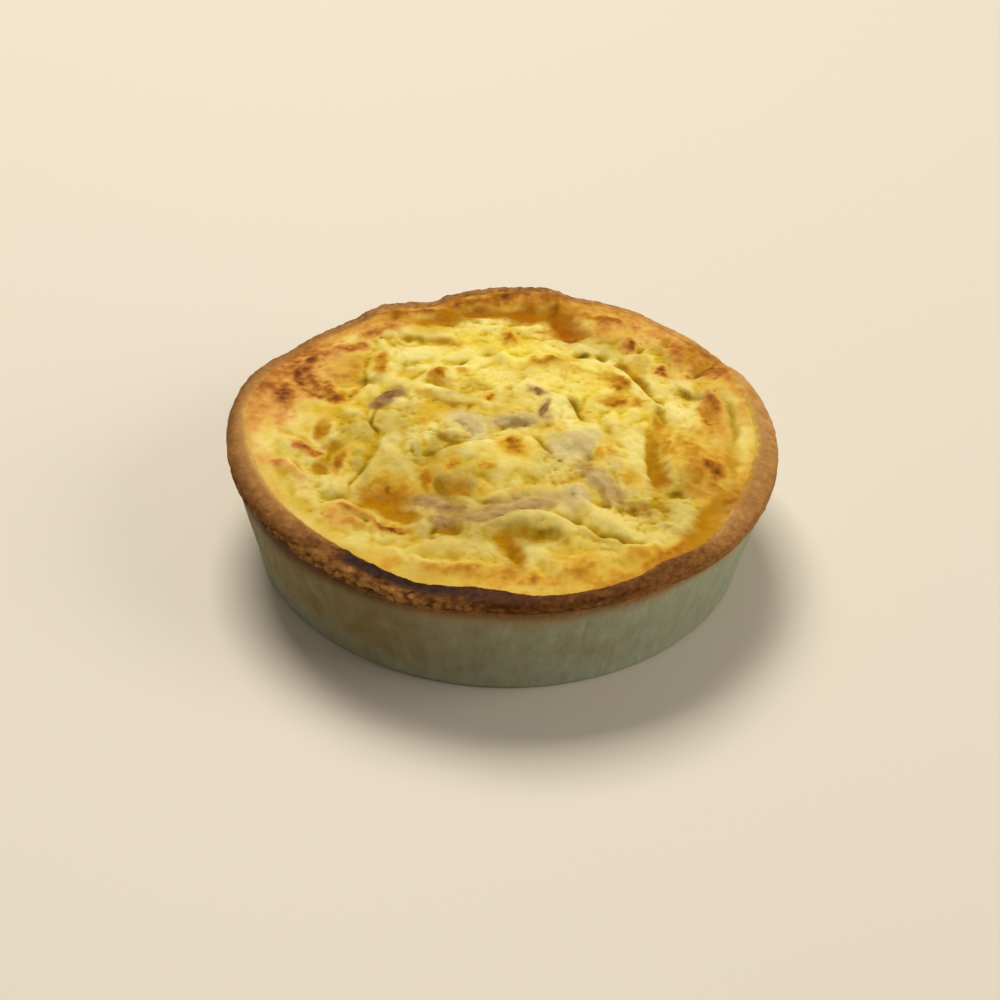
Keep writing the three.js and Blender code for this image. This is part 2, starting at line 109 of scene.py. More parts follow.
# Mounds and hollows, whose strength is their rise
SWELLS = [
    # Middle
    (0, 4, 34, 26, 0.9), (-3, -15, 12, 8, 1.2, -8), (8, -19, 7, 4, 0.6), (7, 21, 7, 8, 0.6),
    (14, 10, 4, 7, 0.9, 10), (20, 9, 2, 6, -0.5, 14), (-15, 14, 12, 2.6, 0.9, -22),
    (-19, 25, 4, 3.4, 0.7, 30), (-20, 20, 3, 2, -0.5), (-31, 2, 3, 4, 0.7), (-30, -8, 2.6, 3, 0.5),
    (-29, -16, 3, 4, 0.5), (-16, -6, 5, 3.2, -0.9, -20), (-20, -12, 2, 4, -0.5), (-24, -8, 2, 5, 0.5, 10),
    (-9, 3, 4, 4, 0.5), (3, 0.4, 6, 1.2, -0.7, 8), (4, 4, 7, 2.4, 0.5, 10), (-15, -27, 5, 5, -0.9, -10),
    (-8, -23, 3, 3, 0.3), (-2, -32, 3, 1.8, -0.8), (-24, -21, 4, 3, 0.5), (6, -27, 9, 2.4, 0.5, 8),
    (16, -17, 5, 5, 0.4), (20, -5, 4, 5, 0.8, -20), (23.4, -10, 1.8, 7, -0.8), (26, -20, 3.4, 6, 0.8, 25),
    (20.5, -28, 3, 3, 0.5),
    # Towards the front
    (-30, -33, 8, 5.4, -1.2, -20), (-25, -40, 5, 2.4, -0.7, -20), (-10, -38, 3, 7, 0.5, 8),
    (-13, -44, 3, 3, -0.9, 20), (-20, -42, 2.6, 5, 0.8, 25), (5, -41, 9, 3, 1, 18),
    (11, -44.6, 6.6, 4.6, -0.8, -12), (16, -42, 3, 5, 0.6, 30), (8, -50, 3, 5, 0.5, 20),
    (20, -46, 5, 4, 0.4, -20), (28, -40, 9, 3.4, 0.8, -32), (22, -33, 3, 5, 0.5),
    (3, -51, 2.8, 5.4, -1.1, 18), (-5, -50, 3, 4, 0.6, 30), (-12, -51, 5, 2.6, 0.6, 10),
    (19, -57, 7, 4, 0.8, 10), (11, -59, 2, 4, -0.6, 10), (30, -54, 6, 3, 0.4, 20),
    (39, -52, 7, 3.4, 0.8, 22), (28, -47, 5, 1.6, -0.5, -15), (-26, -57, 6, 3, 0.5, -15),
    (-8, -60, 8, 2.4, 0.5, -5), (-16, -56, 4, 2, -0.4), (-35, -52, 3, 5, 0.5, 25),
    # Right
    (36, -31, 6, 5, -0.4), (34, -33, 2.4, 2, -0.5, 20), (38, -29, 2.4, 2, 0.5), (47, -33, 4, 7, 1, 10),
    (44, -39, 3, 2.4, 0.5), (53, -14, 7, 8, 1.5, 20), (47, -5, 5, 6, 0.7), (46.6, -25, 4, 3, -1.1, -20),
    (40.6, -14, 2.2, 10, -1, -4), (55, -33, 2.4, 8, -0.8, -28), (60, -22, 1.6, 6, -0.5, 12),
    (35, -4, 3, 8, 0.5), (29, -12, 3, 6, 0.5, 20), (28, 0, 2, 5, -0.5), (48, 11, 4, 7, 0.8, 25),
    (43.6, 10, 1.6, 6, -0.6, 15), (57, 12, 2, 5, -0.7), (52, 20, 6, 2, -0.8, -15), (57, 20, 3, 3, 0.3),
    (60, 2, 4, 4, 0.4), (63, 8, 1.6, 8, -0.5), (60, 16, 2, 6, 0.4, 10),
    # Back right
    (26, 21, 9, 7, 0.6, -25), (13, 34, 6, 4.6, 1), (22, 32, 4, 2, 0.3, -20), (35, 22, 2, 6, 0.4, 25),
    (37.4, 26, 2, 5, -0.9, 25), (33, 34, 2, 3, -0.8, 20), (36, 44, 2.6, 4, 1.3), (38.4, 41, 1.2, 2, -0.5),
    (42, 48, 4, 5, 0.5), (46.4, 47, 1.2, 3, -0.6, -14), (50, 41, 4, 5, 0.6, -20), (45, 31, 3, 3, 0.3),
    (56, 35, 1.4, 6, -0.7, -28), (53, 33, 2, 4, 0.5, -28), (47, 25, 4, 3, 0.5, 20),
    (22, 38.4, 2.4, 1.4, -0.7), (27, 37.6, 1.2, 2, -0.6), (21, 43, 5, 2.4, 0.5), (29, 50, 4, 4, 0.5),
    (31, 57, 6, 3, 0.8, -15),
    # Back
    (6, 60, 8, 4, -1.3), (13, 61, 1.2, 6, 0.9, -12), (17, 55, 4.4, 7, -1.5, 8), (23, 51, 2, 5, 0.4, 15),
    (-11, 60, 10, 3.4, -1, 5), (-20, 54, 5, 2.4, -0.7, -5), (-24, 59, 7, 2, 0.9, 12),
    (-30, 57, 4, 1.6, -0.5, 12), (-12, 66, 12, 2.4, 0.8, 8), (-2, 50, 7, 3, 0.5), (1, 44, 3, 4, 0.4),
    (-19, 43, 5, 2.4, -0.6, -5), (-13, 48, 5, 2, 0.4, -10), (-28, 44, 3, 2, -0.4), (-34, 47, 8, 3, 0.8, 30),
    (-25, 37, 8, 4, 0.5, 10), (-7, 37, 2, 2, -0.5), (-13, 33, 1.6, 3, -0.6, -40), (-2, 36, 3, 4, 0.4),
    (-5, 31, 2, 2, -0.3),
    # Left
    (-46, 36, 5, 4, 0.7, 25), (-54, 30, 4, 6, 0.6, -25), (-48, 24, 3, 3, 0.4), (-42, 27, 3, 4, 0.5),
    (-39, 20.6, 5, 2.4, -0.9, 15), (-50, 14, 4, 4, 0.9, -20), (-61, 12, 4, 6, 0.6, 10), (-44, 6, 5, 3, 0.4),
    (-49, -4, 2, 5, -0.6), (-45, -10, 3, 4, -0.5), (-43, -18, 2, 6, 0.6, -12), (-54, -13, 6, 2, 0.7, -38),
    (-47, -20, 2, 6, -0.6, -15), (-56, -22, 7, 2, 0.5, -32), (-38, -5, 2.4, 6, 0.4, 10),
    (-38, -16, 2, 5, 0.4, 10), (-44, -27, 4, 3, 0.5), (-43, -33, 3.4, 1.8, -0.7, 10),
    (-37, -39, 6, 1.6, 0.9, -42), (-42, -42, 4, 5, 0.4, 20), (-29, -46, 6, 1.4, 0.6, -10),
    (-47, -39, 2.4, 5, 0.4, 20), (-62, -10, 4, 8, 0.3, 12),
]

# Where the top is smoother
SMOOTH_PLACES = [
    (-60, -12, 10, 26, 1), (0, -60, 40, 8, 0.7), (63, 0, 6, 30, 0.7), (-50, 24, 8, 8, 0.3),
]

# Where it is curdled or dimpled
GRAINY_PLACES = [
    (15, -17, 5, 6, 1), (-6, 21, 6, 6, 0.6), (36, -33, 6, 5, 0.9), (-26, 4, 4, 8, 0.5),
    (-10, -4, 5, 3, 0.4), (47, 35, 8, 8, 0.6), (48, 12, 6, 8, 0.5), (-48, 24, 10, 10, 0.5),
    (22, 40, 8, 5, 0.5), (-5, 50, 14, 5, 0.5), (46, -30, 6, 5, 0.5), (-33, 40, 7, 6, 0.4),
    (-50, -24, 4, 8, 0.4, 20), (30, 8, 8, 8, 0.3),
]

# Length over which a line fades in and out
END_FADE = 5

# Ridges and narrow creases: points, half width and rise
GROOVES = [
    ([(-34.6, 9), (-35.2, 5), (-36.4, -1), (-34.4, -4), (-31.6, -5)], 0.6, -0.7),
    ([(-36.6, 1), (-36, -2.4)], 0.7, -1),
    ([(-32.4, -3), (-33.2, -7), (-33, -11), (-35, -18), (-38, -25), (-39.8, -33)], 0.7, -0.6),
    ([(-14.4, 30.6), (-13, 33), (-9.6, 35.8)], 0.6, -0.8),
    ([(-41.5, -35.4), (-37, -38.8), (-32.5, -43), (-29.5, -45.2)], 1.2, 0.7),
    ([(-39, -40.6), (-34, -44), (-30, -46.6), (-23.6, -48.4)], 0.9, -0.45),
    ([(-58, 27), (-57, 21), (-55, 16), (-50.6, 11.8), (-46.4, 9.4), (-42.6, 11.6), (-40, 16)], 1.2, -0.7),
    ([(-54, 23), (-52.6, 19), (-49, 14.6)], 0.7, -0.7),
    ([(-62.2, -23), (-60.8, -27.6), (-57.4, -33.4)], 0.4, -0.8),
    ([(-56.4, 7), (-53.6, 3.4)], 0.5, -0.5),
    ([(-51.6, 7), (-49, 5)], 0.5, -0.5),
    ([(-57, -17), (-54, -21), (-50.5, -25.6)], 0.7, -0.5),
    ([(-63, -2), (-58, -5), (-52, -9), (-50, -15)], 0.9, -0.4),
    ([(51.6, 28), (55, 31.6), (58.6, 38)], 0.8, -0.8),
    ([(58.6, 29), (62.4, 31.4)], 0.8, -0.6),
    ([(39.6, 41), (42, 40.2)], 0.6, -0.6),
    ([(60, -5), (62, -9)], 0.7, -0.7),
    ([(32.6, -15.6), (34.4, -19)], 0.6, -0.7),
    ([(23.6, -17), (25, -20.4), (28, -24)], 0.6, -0.8),
    ([(-18, -7), (-16.6, -11)], 0.8, -0.4),
    ([(-25.4, -7), (-23.2, -13), (-22.6, -17)], 0.6, -0.6),
    ([(-15.4, -39.6), (-15.4, -44), (-18, -49.6)], 0.7, -0.7),
    ([(0.6, -46), (3.6, -52), (5.6, -61)], 0.9, -0.5),
    ([(-25, 17), (-20, 13.6), (-15, 9.8)], 0.7, -0.4),
    ([(44, -26.4), (46, -28.8), (50.8, -30)], 0.6, -0.6),
    ([(8, -3), (13, -9), (14, -13.4)], 0.5, -0.6),
    ([(-12, 3), (-9, -0.6), (-9, -4)], 0.5, -0.5),
    ([(-11.6, -2.4), (-8.4, -3.2), (-6, -2)], 0.7, -0.8),
    ([(-14.8, -34), (-14.4, -38)], 0.9, -0.8),
    ([(-9.6, 3.6), (-6.6, 0), (-5.6, -3)], 0.5, 0.4),
]

# Folds, where the custard on the left of the line has risen and its lip stands over the right:
# points, lift of the lip, how far it fades, depth beside it
FOLDS = [
    # Right-hand edge of the middle
    ([(45, 12), (41.6, 16.4), (38.5, 21), (35.6, 25), (34, 30), (30, 36)], 0.8, 4, 0.8),
    ([(40.6, -24), (38.8, -15), (38.2, -5), (39.4, 5)], 0.5, 4, 0.55),
    # Over the nub and down to the right piece of ham
    ([(25, 2.6), (20.6, 5), (19.2, 8.1), (18, 13.5), (16.2, 16), (9, 16)], 0.8, 3, 0.7),
    # Along the strip of ham and round to the right
    ([(14, -36.7), (9, -37.2), (3.8, -38.8), (-1.2, -40.8), (-5, -43)], 1.2, 4, 1.2),
    (
        [
            (40, -47.4), (35, -48.6), (31, -47.2), (29, -45.6), (25.5, -45.4), (22, -42), (17, -39.4),
            (13, -36.9),
        ],
        0.9, 4, 0.9,
    ),
    # Mound in the middle, its far edge and its near slope
    ([(3, -5.6), (-5, -6.4), (-11, -8.6), (-17, -13), (-19, -18)], 0.6, 4, 0.6),
    ([(-5, -26), (3, -26), (12, -23.4), (20, -22)], 0.15, 4, 0.2),
    # Far left
    ([(-29, 20), (-27.6, 21.4), (-25, 25), (-21, 27.4), (-17, 29)], -0.2, 3, 0.9),
    ([(-1, 8.4), (-7, 9.2), (-14, 9.6), (-20, 13), (-27, 17.6)], -0.1, 3, 0.6),
    ([(-27, 17.6), (-20, 13), (-14, 9.6), (-7, 9.2), (-1, 8.4)], 0.7, 2.6, 0.2),
    ([(-1, 15), (0.6, 20), (4, 25.6), (10, 28)], -0.3, 3, 0.5),
    # Left edge of the middle, and the folds outside it
    ([(-36.6, -1), (-34, -4), (-33.4, -10), (-35, -17), (-38, -25), (-40, -32)], 0.45, 4, 0.55),
    ([(-28, -46), (-32.5, -43.4), (-37, -39.4), (-43, -35)], 0.7, 3.4, 0.8),
    ([(-44, -24), (-47, -16), (-46, -8), (-43, -2)], 0.4, 4, 0.6),
    ([(-17, -37), (-19.4, -42), (-21.6, -48)], 0.6, 3, 0.7),
    ([(-10, -46.6), (-16, -49.6), (-21, -50)], 0.6, 3, 0.7),
    # Back and far right
    ([(6, 54), (-1, 52.6), (-8, 53.6), (-15, 52), (-22, 53)], -0.2, 3, 0.8),
    ([(26, 52), (21, 46.6), (15.4, 47), (11.6, 51), (8, 56)], -0.2, 3, 1.2),
    ([(-38, 48), (-30, 45), (-20, 44.6), (-10, 41)], 0.5, 3, 0.4),
    ([(-37, 36), (-40, 27), (-38, 21), (-41, 14)], 0.6, 3, 0.7),
    ([(46, 27), (50, 22), (55, 20)], 0.5, 3, 0.7),
    ([(58, 28), (52, 25), (47, 28)], 0.5, 3, 0.5),
    ([(40, 50), (40, 44), (37, 39), (32, 38)], 0.5, 3, 0.6),
    ([(62, -22), (58, -26), (52, -26), (47, -23)], -0.6, 4, 0.8),
    # Between the folds of ham on the right
    ([(24, 0), (22.4, -6), (22, -14), (23, -18)], -0.3, 3, 0.8),
    ([(30, -14), (31, -22), (32, -29), (38, -34)], 0.5, 3, 0.6),
    ([(24, -22), (27, -26), (29, -31), (28, -36)], 0.4, 3, 0.5),
]

# Browning of the custard: golden, then the brown spots in it
TOASTED = [
    # Broad and faint
    (59, 8, 7, 18, 0.4), (56, -20, 7, 9, 0.36), (-46, 20, 9, 9, 0.35), (2, -62, 26, 4.4, 0.5),
    (-30, 2, 7, 10, 0.15), (4, 13, 14, 5, 0.2), (2, -14, 9, 7, 0.2),
    # Left and back left
    (-61, 4, 6, 12, 0.65, 8), (-60, 17, 7, 9, 0.8, 10), (-54, 31, 6, 9, 0.65, -30),
    (-44, 38, 6, 4, 0.5, 30), (-37, 48, 8, 5, 0.65, 32), (-46, 24, 7, 8, 0.45), (-36, 31, 3, 6, 0.7, 10),
    (-51, 14, 6, 4, 0.7, -20), (-53, -13, 5.6, 2.8, 0.8, -40), (-56, -22, 8, 2.6, 0.42, -34),
    (-43, -18, 2.6, 7, 0.85, -12), (-49, -4, 2.6, 6, 0.75), (-60, -19, 3, 3.4, 0.25),
    (-41, -42, 5, 6, 0.65, 20), (-27, -46, 6, 2.2, 0.9, -12), (-34, -41.6, 4, 1.4, 0.6, -42),
    (-52, -30, 3, 4, 0.35), (-56, 20, 3, 6, 0.6, 12), (-50, 12.6, 6, 3, 0.6, -20), (-44, 11, 4, 3, 0.5, 20),
    # Back
    (-24, 60, 9, 3, 0.8, 10), (-12, 66, 14, 4, 0.6, 8), (-20, 43, 5, 2.6, 0.6), (1, 46, 3, 5, 0.75),
    (9, 49.4, 4, 2, 0.6), (-30, 52, 7, 4, 0.6, 20), (4, 67, 14, 4, 0.6), (22, 62, 8, 3, 0.5, -20),
    (13, 61, 2.2, 6, 0.95, -12), (17, 53, 3.4, 6, 0.8, 8),
    # Back right
    (31, 56, 10, 6, 0.7, -25), (51, 42, 6, 9, 0.8, -18), (58, 36, 5, 9, 0.75, -28), (44, 32, 3, 3, 0.8),
    (35, 43, 3, 5, 0.6), (28, 50, 5, 4, 0.4), (42, 49, 5, 6, 0.45), (47, 30, 5, 5, 0.35),
    (9.5, 33, 4, 3, 0.65), (15, 35, 6, 4, 0.5), (22, 29.4, 6, 1.4, 0.55, -6), (18, 26.6, 1.2, 3, 0.35),
    (31, 24, 2.8, 8, 0.75, 28), (30, 15, 6, 4, 0.7, 5), (37, 16, 3, 4, 0.65, -20), (25, 24, 6, 4, 0.35),
    # Right
    (47, -6, 7, 10, 0.56), (55, -12, 7, 9, 0.65, 10), (42, 4, 3, 8, 0.65), (57, 10, 2.8, 6, 0.65, 10),
    (62, -10, 3, 6, 0.4), (58, 14, 3, 8, 0.7, 5), (34, -20, 5, 3, 0.45, -40), (55, 2, 5, 4, 0.35),
    (52, -24, 4, 6, 0.5), (58, -30, 3, 8, 0.55, -24), (30, -8, 2, 5, 0.35),
    # Front
    (20, -56, 8, 6, 0.55, 8), (26, -60, 6, 4, 0.55, 10), (39, -52.6, 9, 4.4, 0.65, 24),
    (48, -46, 5, 3.4, 0.55, 40), (-26, -58, 7, 3, 0.5, -14), (-8, -61, 10, 2.4, 0.5, -4),
    (4, -63.6, 14, 3, 0.5, 2), (-14, -52, 5, 2, 0.2, 15),
    # Middle
    (-19, 25, 3, 3.8, 0.65, 15), (-11.5, 27.4, 2.4, 2, 0.55), (-22, 15, 5, 2, 0.5, -40),
    (-17, 10.4, 3, 2, 0.55, -30), (-4.4, 13.6, 1.8, 3.6, 0.75, -25), (-21, 3, 2.4, 3, 0.5),
    (2.6, -8.6, 5, 4.6, 0.7), (3.6, -13, 4, 3, 0.5), (-13.5, -18.5, 4, 3.2, 0.6),
    (-5, -19.4, 3.4, 2.8, 0.5), (-19.4, -25, 2.2, 5.6, 0.7), (-5, -28, 2.2, 3.4, 0.5),
    (5, -28, 8, 2, 0.3, 14), (15, 0, 3, 3.4, 0.45), (23.6, 9.6, 2, 1.6, 0.5), (26, -9, 2.4, 6, 0.5),
    (-29, -26, 5, 4, 0.65), (-9, 16, 3, 2, 0.2), (29, -3, 2, 6, 0.35), (-24, -30, 3, 4, 0.45),
]

BROWNED = [
    # Middle
    (2.6, -8.4, 2.2, 1.8, 0.75), (2.4, -10.8, 3, 0.9, 0.45, -12), (4.4, -11.6, 0.9, 2, 0.35, 20),
    (-13.4, -18.6, 1.6, 1.2, 0.7), (-4.8, -19.2, 1.5, 1.2, 0.4), (-19, 25.4, 1, 1.6, 0.6, 20),
    (-17.6, 24, 0.8, 1.4, 0.4), (-16.6, 10.2, 1, 1.4, 0.5, 30), (-4.4, 12.6, 0.9, 2, 0.8, -25),
    (-3.4, 15.4, 0.8, 1.2, 0.35), (-21, 3, 1.2, 1.2, 0.4), (-29.6, -27.6, 1.4, 2, 0.8),
    (-28.6, -30, 2.4, 1, 0.5, -20), (-25, 15.6, 1.4, 0.8, 0.4, -40),
    # Left and back left
    (-61, 11, 2.6, 3.4, 0.75, 15), (-59.4, 6.4, 1, 2, 0.4, 20), (-57, 21, 1.5, 4.4, 0.85, 12),
    (-54.6, 15.6, 1.6, 3.4, 0.85, 25), (-52, 12.4, 3, 1.3, 0.75, -35), (-47, 9.8, 3.2, 1.3, 0.9, 15),
    (-42.6, 13, 1.2, 3, 0.65, -35), (-52, 18, 1.3, 4, 0.6, 20), (-48.6, 15, 1.2, 2.8, 0.5, 10),
    (-49.4, -15.8, 2, 1.4, 1), (-52.4, -12.8, 1.4, 0.8, 0.6, -50), (-49, -5, 1, 2.6, 0.5),
    (-45.4, 36.6, 3, 2.2, 0.8, 10), (-42, 38, 1.6, 1.6, 0.6), (-49, 40.4, 3.8, 1.6, 0.3, 35),
    (-54, 29, 2.6, 2.2, 0.7), (-60, 28, 1.8, 4.4, 0.55, -25), (-39, 44, 3.4, 1.6, 0.5, 30),
    (-35, 27, 1, 3, 0.4), (-39, 20, 3.4, 1.2, 0.4, 12), (-25, -47.2, 3, 0.9, 0.8, -8),
    (-39.6, -43.6, 1.6, 1.4, 0.25), (-60, -19.6, 1.4, 1.4, 0.35), (-58, 36, 3.4, 2.2, 0.6, 45),
    (-50, 33, 2, 2, 0.4), (-55, 24, 2.4, 1.6, 0.5),
    # Right
    (56.4, -16.6, 2.6, 3, 0.75, 15), (54, -14.6, 1, 1.4, 0.5, 40), (57, -21, 2, 2, 0.4),
    (57, 8.6, 1, 2.6, 0.65, 10), (48, 0.6, 2.4, 0.8, 0.35, -15), (44, 0, 1, 2.4, 0.35),
    (50.6, -4.6, 2, 1, 0.25, -15), (57, 18, 2, 2.4, 0.45),
    # Back right
    (36.6, 43, 1.7, 2.6, 1, 5), (35.4, 47.4, 1.4, 1.6, 0.5), (44.4, 31.4, 1.6, 1.8, 0.9),
    (45.6, 29.6, 1, 1, 0.4), (56.4, 34, 1, 5, 0.95, -28), (53, 29.6, 2, 0.8, 0.7, 35),
    (60, 30, 2, 0.8, 0.6, 25), (58.6, 37.4, 0.9, 2, 0.6, -30), (30.4, 13.6, 2.8, 0.8, 0.6, 5),
    (33, 15.6, 0.8, 1.8, 0.4), (28.4, 26.4, 1.6, 0.8, 0.3, -30), (31, 21.6, 0.8, 2.4, 0.4, 28),
    (37.4, 14.6, 0.8, 1.6, 0.35, 20), (9.6, 33, 1.3, 1, 0.5), (1, 45, 1.3, 1.8, 0.2),
    (9.6, 49.4, 1.8, 0.8, 0.45), (25.6, 58.6, 2.6, 1, 0.5, 10), (32.6, 56, 1.2, 1.6, 0.4),
    (38, 55, 2, 1, 0.3, -30), (48, 46, 1.6, 1, 0.5, 40),
    # Back
    (13, 53, 1.4, 4, 0.6, -12), (20.6, 48.6, 1.2, 2, 0.6, -20), (2, 58, 1, 3, 0.45),
    (-8, 61, 2.4, 1.6, 0.45), (-29, 63, 3, 1, 0.5), (-14, 62.6, 3, 1.4, 0.5), (-31, 51.6, 2, 1.2, 0.45),
    (-18.6, 42.6, 2, 1, 0.35), (9, 57, 1, 3, 0.4, 20),
]

# Amber where juices have set, and the deepest of it
AMBER = [
    # Back
    (5, 60.6, 9, 5, 1), (16, 57, 5, 9, 1, 8), (13, 60, 2, 6, 0.5, -12), (20, 50, 4.4, 4, 1),
    (-10, 60.6, 8, 3.8, 1, 5), (-19, 57, 5, 3.6, 0.95), (-24, 53, 6, 2.6, 0.85, -6),
    (-33, 55, 5, 2, 0.65, 20), (26, 59, 3.4, 2, 0.85, 10), (-17, 43, 3.4, 1.8, 0.5),
    (-29, 43, 1.8, 1.8, 0.4),
    # Left
    (-30, -32, 8.4, 6.6, 1, -18), (-26, -39, 7, 3.4, 0.95, -24), (-43, -18, 2.2, 5, 0.7, -12),
    (-49, -4, 2, 4.6, 0.7), (-46.4, -11.6, 2.8, 2.8, 0.7), (-47.6, -20, 1.8, 5, 0.6, -15),
    (-42, 29, 2.4, 3.4, 0.4), (-35.6, 26, 1.4, 4, 0.5), (-55, -24, 5, 1.4, 0.4, -32),
    (-23, -46, 2.4, 1.4, 0.5), (-36, -45, 4, 1.6, 0.4, -36),
    # Middle
    (-19.4, -25, 1.4, 4.4, 0.85), (-17.4, 21.4, 2.4, 3.4, 0.6), (-13, -25, 6, 5.4, 0.35),
    (-11, -29, 2.4, 3.4, 0.6), (9, -45.6, 5, 3.4, 0.25, -12), (2, -49, 2.6, 4.2, 1, 15),
    (5, -56, 2.8, 4.6, 0.9, 15), (-13, -44.6, 2.6, 3, 0.5, 15),
    # Right
    (41.4, -18, 3.2, 6, 1, -8), (40.2, -7, 2.2, 8, 0.85), (41.4, 5, 1.8, 6, 0.65, -10),
    (55.6, -32, 3.2, 11, 0.85, -26), (51, -43, 3.4, 6, 0.65, -38), (37.4, 26, 2, 4.4, 0.85, 24),
    (33, 33.4, 2, 2.8, 0.7, 20), (57, 13, 2.2, 6, 0.65), (61.6, -13, 1.6, 9, 0.55, 2),
    (36, -33, 4, 2.8, 0.5), (50, -20, 4, 5, 0.6), (46.4, 47.6, 1.4, 3.8, 0.85, -14),
    (52, 41, 2, 6, 0.7, -14), (55.4, 36, 1.8, 6, 0.6, -28), (36, 46, 2.2, 3.4, 0.55),
    (39, 36, 2.4, 2.4, 0.4), (45, 42, 1.6, 2.6, 0.4), (30, -12, 1.6, 5, 0.35, 10),
    (34, -20, 2, 3, 0.35, -40),
]

DEEP_AMBER = [
    (4, 60, 9, 4.4, 0.4), (17, 54, 4.6, 9, 0.55, 8), (19, 49, 2.4, 3, 0.3), (-10, 60, 8, 3.4, 0.4, 5),
    (-20, 56, 5, 3, 0.3), (-32, -30, 5, 4, 0.2), (41, -20, 2.4, 4, 0.15), (-19.4, -25, 1.4, 4, 0.2),
]

# Olive in the hollows, partly the custard's own colour and partly painted shade; pale swells, partly painted
# highlight; and clear yellow
OLIVE_AND_SHADE = [
    # Broad and faint
    (-30, 0, 8, 9, 0.6), (-20, -16, 14, 7, 0.5), (-14, -31, 10, 8, 0.58), (-5, -46, 16, 6, 0.6),
    (46, -31, 8, 8, 0.3), (60, 14, 6, 10, 0.66), (29, 45, 10, 6, 0.4, -20), (60, -4, 5, 10, 0.45),
    (14, -14, 8, 6, 0.4), (-2, 14, 8, 4, 0.3),
    # Small and stronger
    (-39, 20.6, 4.4, 2.2, 0.9, 15), (-49, 25, 2.4, 2.4, 0.5), (-16, -6, 5, 3.2, 0.9, -20),
    (-18, -10, 2, 4, 0.7), (-15, -28, 6, 5, 0.9, -10), (-8, -24, 3, 3, 0.4), (-2, -32, 3.4, 2, 0.7),
    (-11, -40, 3, 6, 0.5, 8), (-13, -44.6, 2.4, 3, 0.9, 15), (11, -45, 6.6, 4.4, 0.8, -12),
    (36, -33, 4.6, 2.6, 0.85, -12), (28, -29, 1.6, 5, 0.6, 30), (46.6, -25, 3.4, 2.4, 0.9, -20),
    (52, 20.6, 5, 2, 0.85, -15), (61, 12, 1.6, 8, 0.8), (22, 38.6, 3, 1.6, 0.85), (27, 37.6, 1.4, 2, 0.7),
    (34, 32, 1.8, 3, 0.8, 25), (37.6, 26, 1.6, 4, 0.5, 24), (-43, -33, 3.6, 1.8, 0.6),
    (-46, -10.6, 3, 3.4, 0.7), (-42, -3, 4, 5, 0.5), (-37, -6, 1.6, 6, 0.5, 8),
    (-36.6, -20, 1.6, 8, 0.5, 14), (63, 4, 1.4, 8, 0.6), (-26, -39, 6, 2.4, 0.8, -25),
    (-13, 56, 4, 2, 0.8, -10), (8, 60, 4, 3, 0.5), (-16, 51.6, 4, 1.2, 0.5, -5), (5.6, -60, 1.6, 3, 0.6),
    (44, -41, 4, 1.2, 0.4, -30), (29, -47, 4, 1, 0.5, -20), (-5, 37.6, 2.4, 1.4, 0.5),
    (-13, 14, 5, 2, 0.5, -22), (-9, 20, 4, 3, 0.35), (-26, 43, 3, 1.6, 0.6), (-28, 30, 2, 4, 0.4, -40),
    (19.4, 13, 1.2, 3.6, 0.6, 15), (5, 0, 5, 1.4, 0.6, 10), (13, -11, 1, 4, 0.4, 15), (17, 44, 3, 2, 0.3),
    (26, 52, 3, 4, 0.3), (42.6, 12, 1.6, 5, 0.4, 20), (-23.4, -12, 1, 5, 0.5, 5), (23, -9, 1.2, 6, 0.4),
    (39, 30, 2, 3, 0.4), (48, 36, 3, 3, 0.3), (-55, 5, 2, 2, 0.25),
]

PALE = [
    # Broad
    (10, 28, 18, 12, 0.5), (-22, 34, 14, 8, 0.45, 10), (14, 10, 8, 9, 0.4), (20, -31, 9, 7, 0.75, -30),
    (30, -44, 9, 6, 0.65, -20), (-14, 15, 9, 5, 0.4, -20), (24, 32, 9, 7, 0.3),
    # Small
    (-31, 2, 3, 5, 0.9), (-30, -9, 3, 5, 0.6), (-27, -16, 3, 4, 0.5), (-27, 34, 9, 5, 0.8, 20),
    (-9, 35, 8, 5, 0.6), (15, 10, 3, 6, 0.9, 5), (15, -15, 5, 5, 0.9), (20, 1, 5, 3, 0.7),
    (29, -39, 9, 3, 0.9, -32), (35, -3, 3, 8, 0.8), (34, -11, 3, 5, 0.6), (48, 11, 4, 6, 0.95, 25),
    (24, 43, 6, 3, 0.7), (41, 47, 3, 6, 0.5), (-36, -51, 3, 5, 0.8, 25), (28, -49, 4, 4, 0.8),
    (7, -38.8, 9, 1.8, 0.9, 15), (-20, -44, 2, 4, 0.9, 25), (-12, -50, 5, 2, 0.6), (47, -34, 4, 6, 0.6),
    (-44, -27, 3, 2.4, 0.7), (-46, -35, 2.4, 5, 0.7, 10), (-64, -10, 3, 9, 1, 12), (-58, -3, 2, 4, 0.4, 30),
    (66, 4, 1.6, 12, 0.9), (65, -14, 1.2, 8, 0.7, 10), (8, -67, 14, 1.6, 0.7, 3),
    (-22, -63, 6, 1.6, 0.5, -15), (-58, -28, 2, 7, 0.6, 28), (44, 20, 5, 3, 0.6), (-24, 19, 3, 2, 0.6),
    (22, -31, 3, 5, 0.9), (-22, -20, 3, 3, 0.5), (7, 24, 5, 5, 0.6), (46, 26, 4, 2, 0.5),
    (-37, 38, 4, 2, 0.6, 30), (-6, -52, 2, 4, 0.5, 30), (-1, -24, 6, 3, 0.4), (60, 1, 3, 4, 0.5),
    (-57, 2, 1.6, 5, 0.4, 30), (33, 30, 1, 6, 0.6, 26), (18, -41, 2, 4, 0.6, 30), (-12, 30, 3, 2, 0.3),
    (-10, 51, 6, 2, 0.6),
]

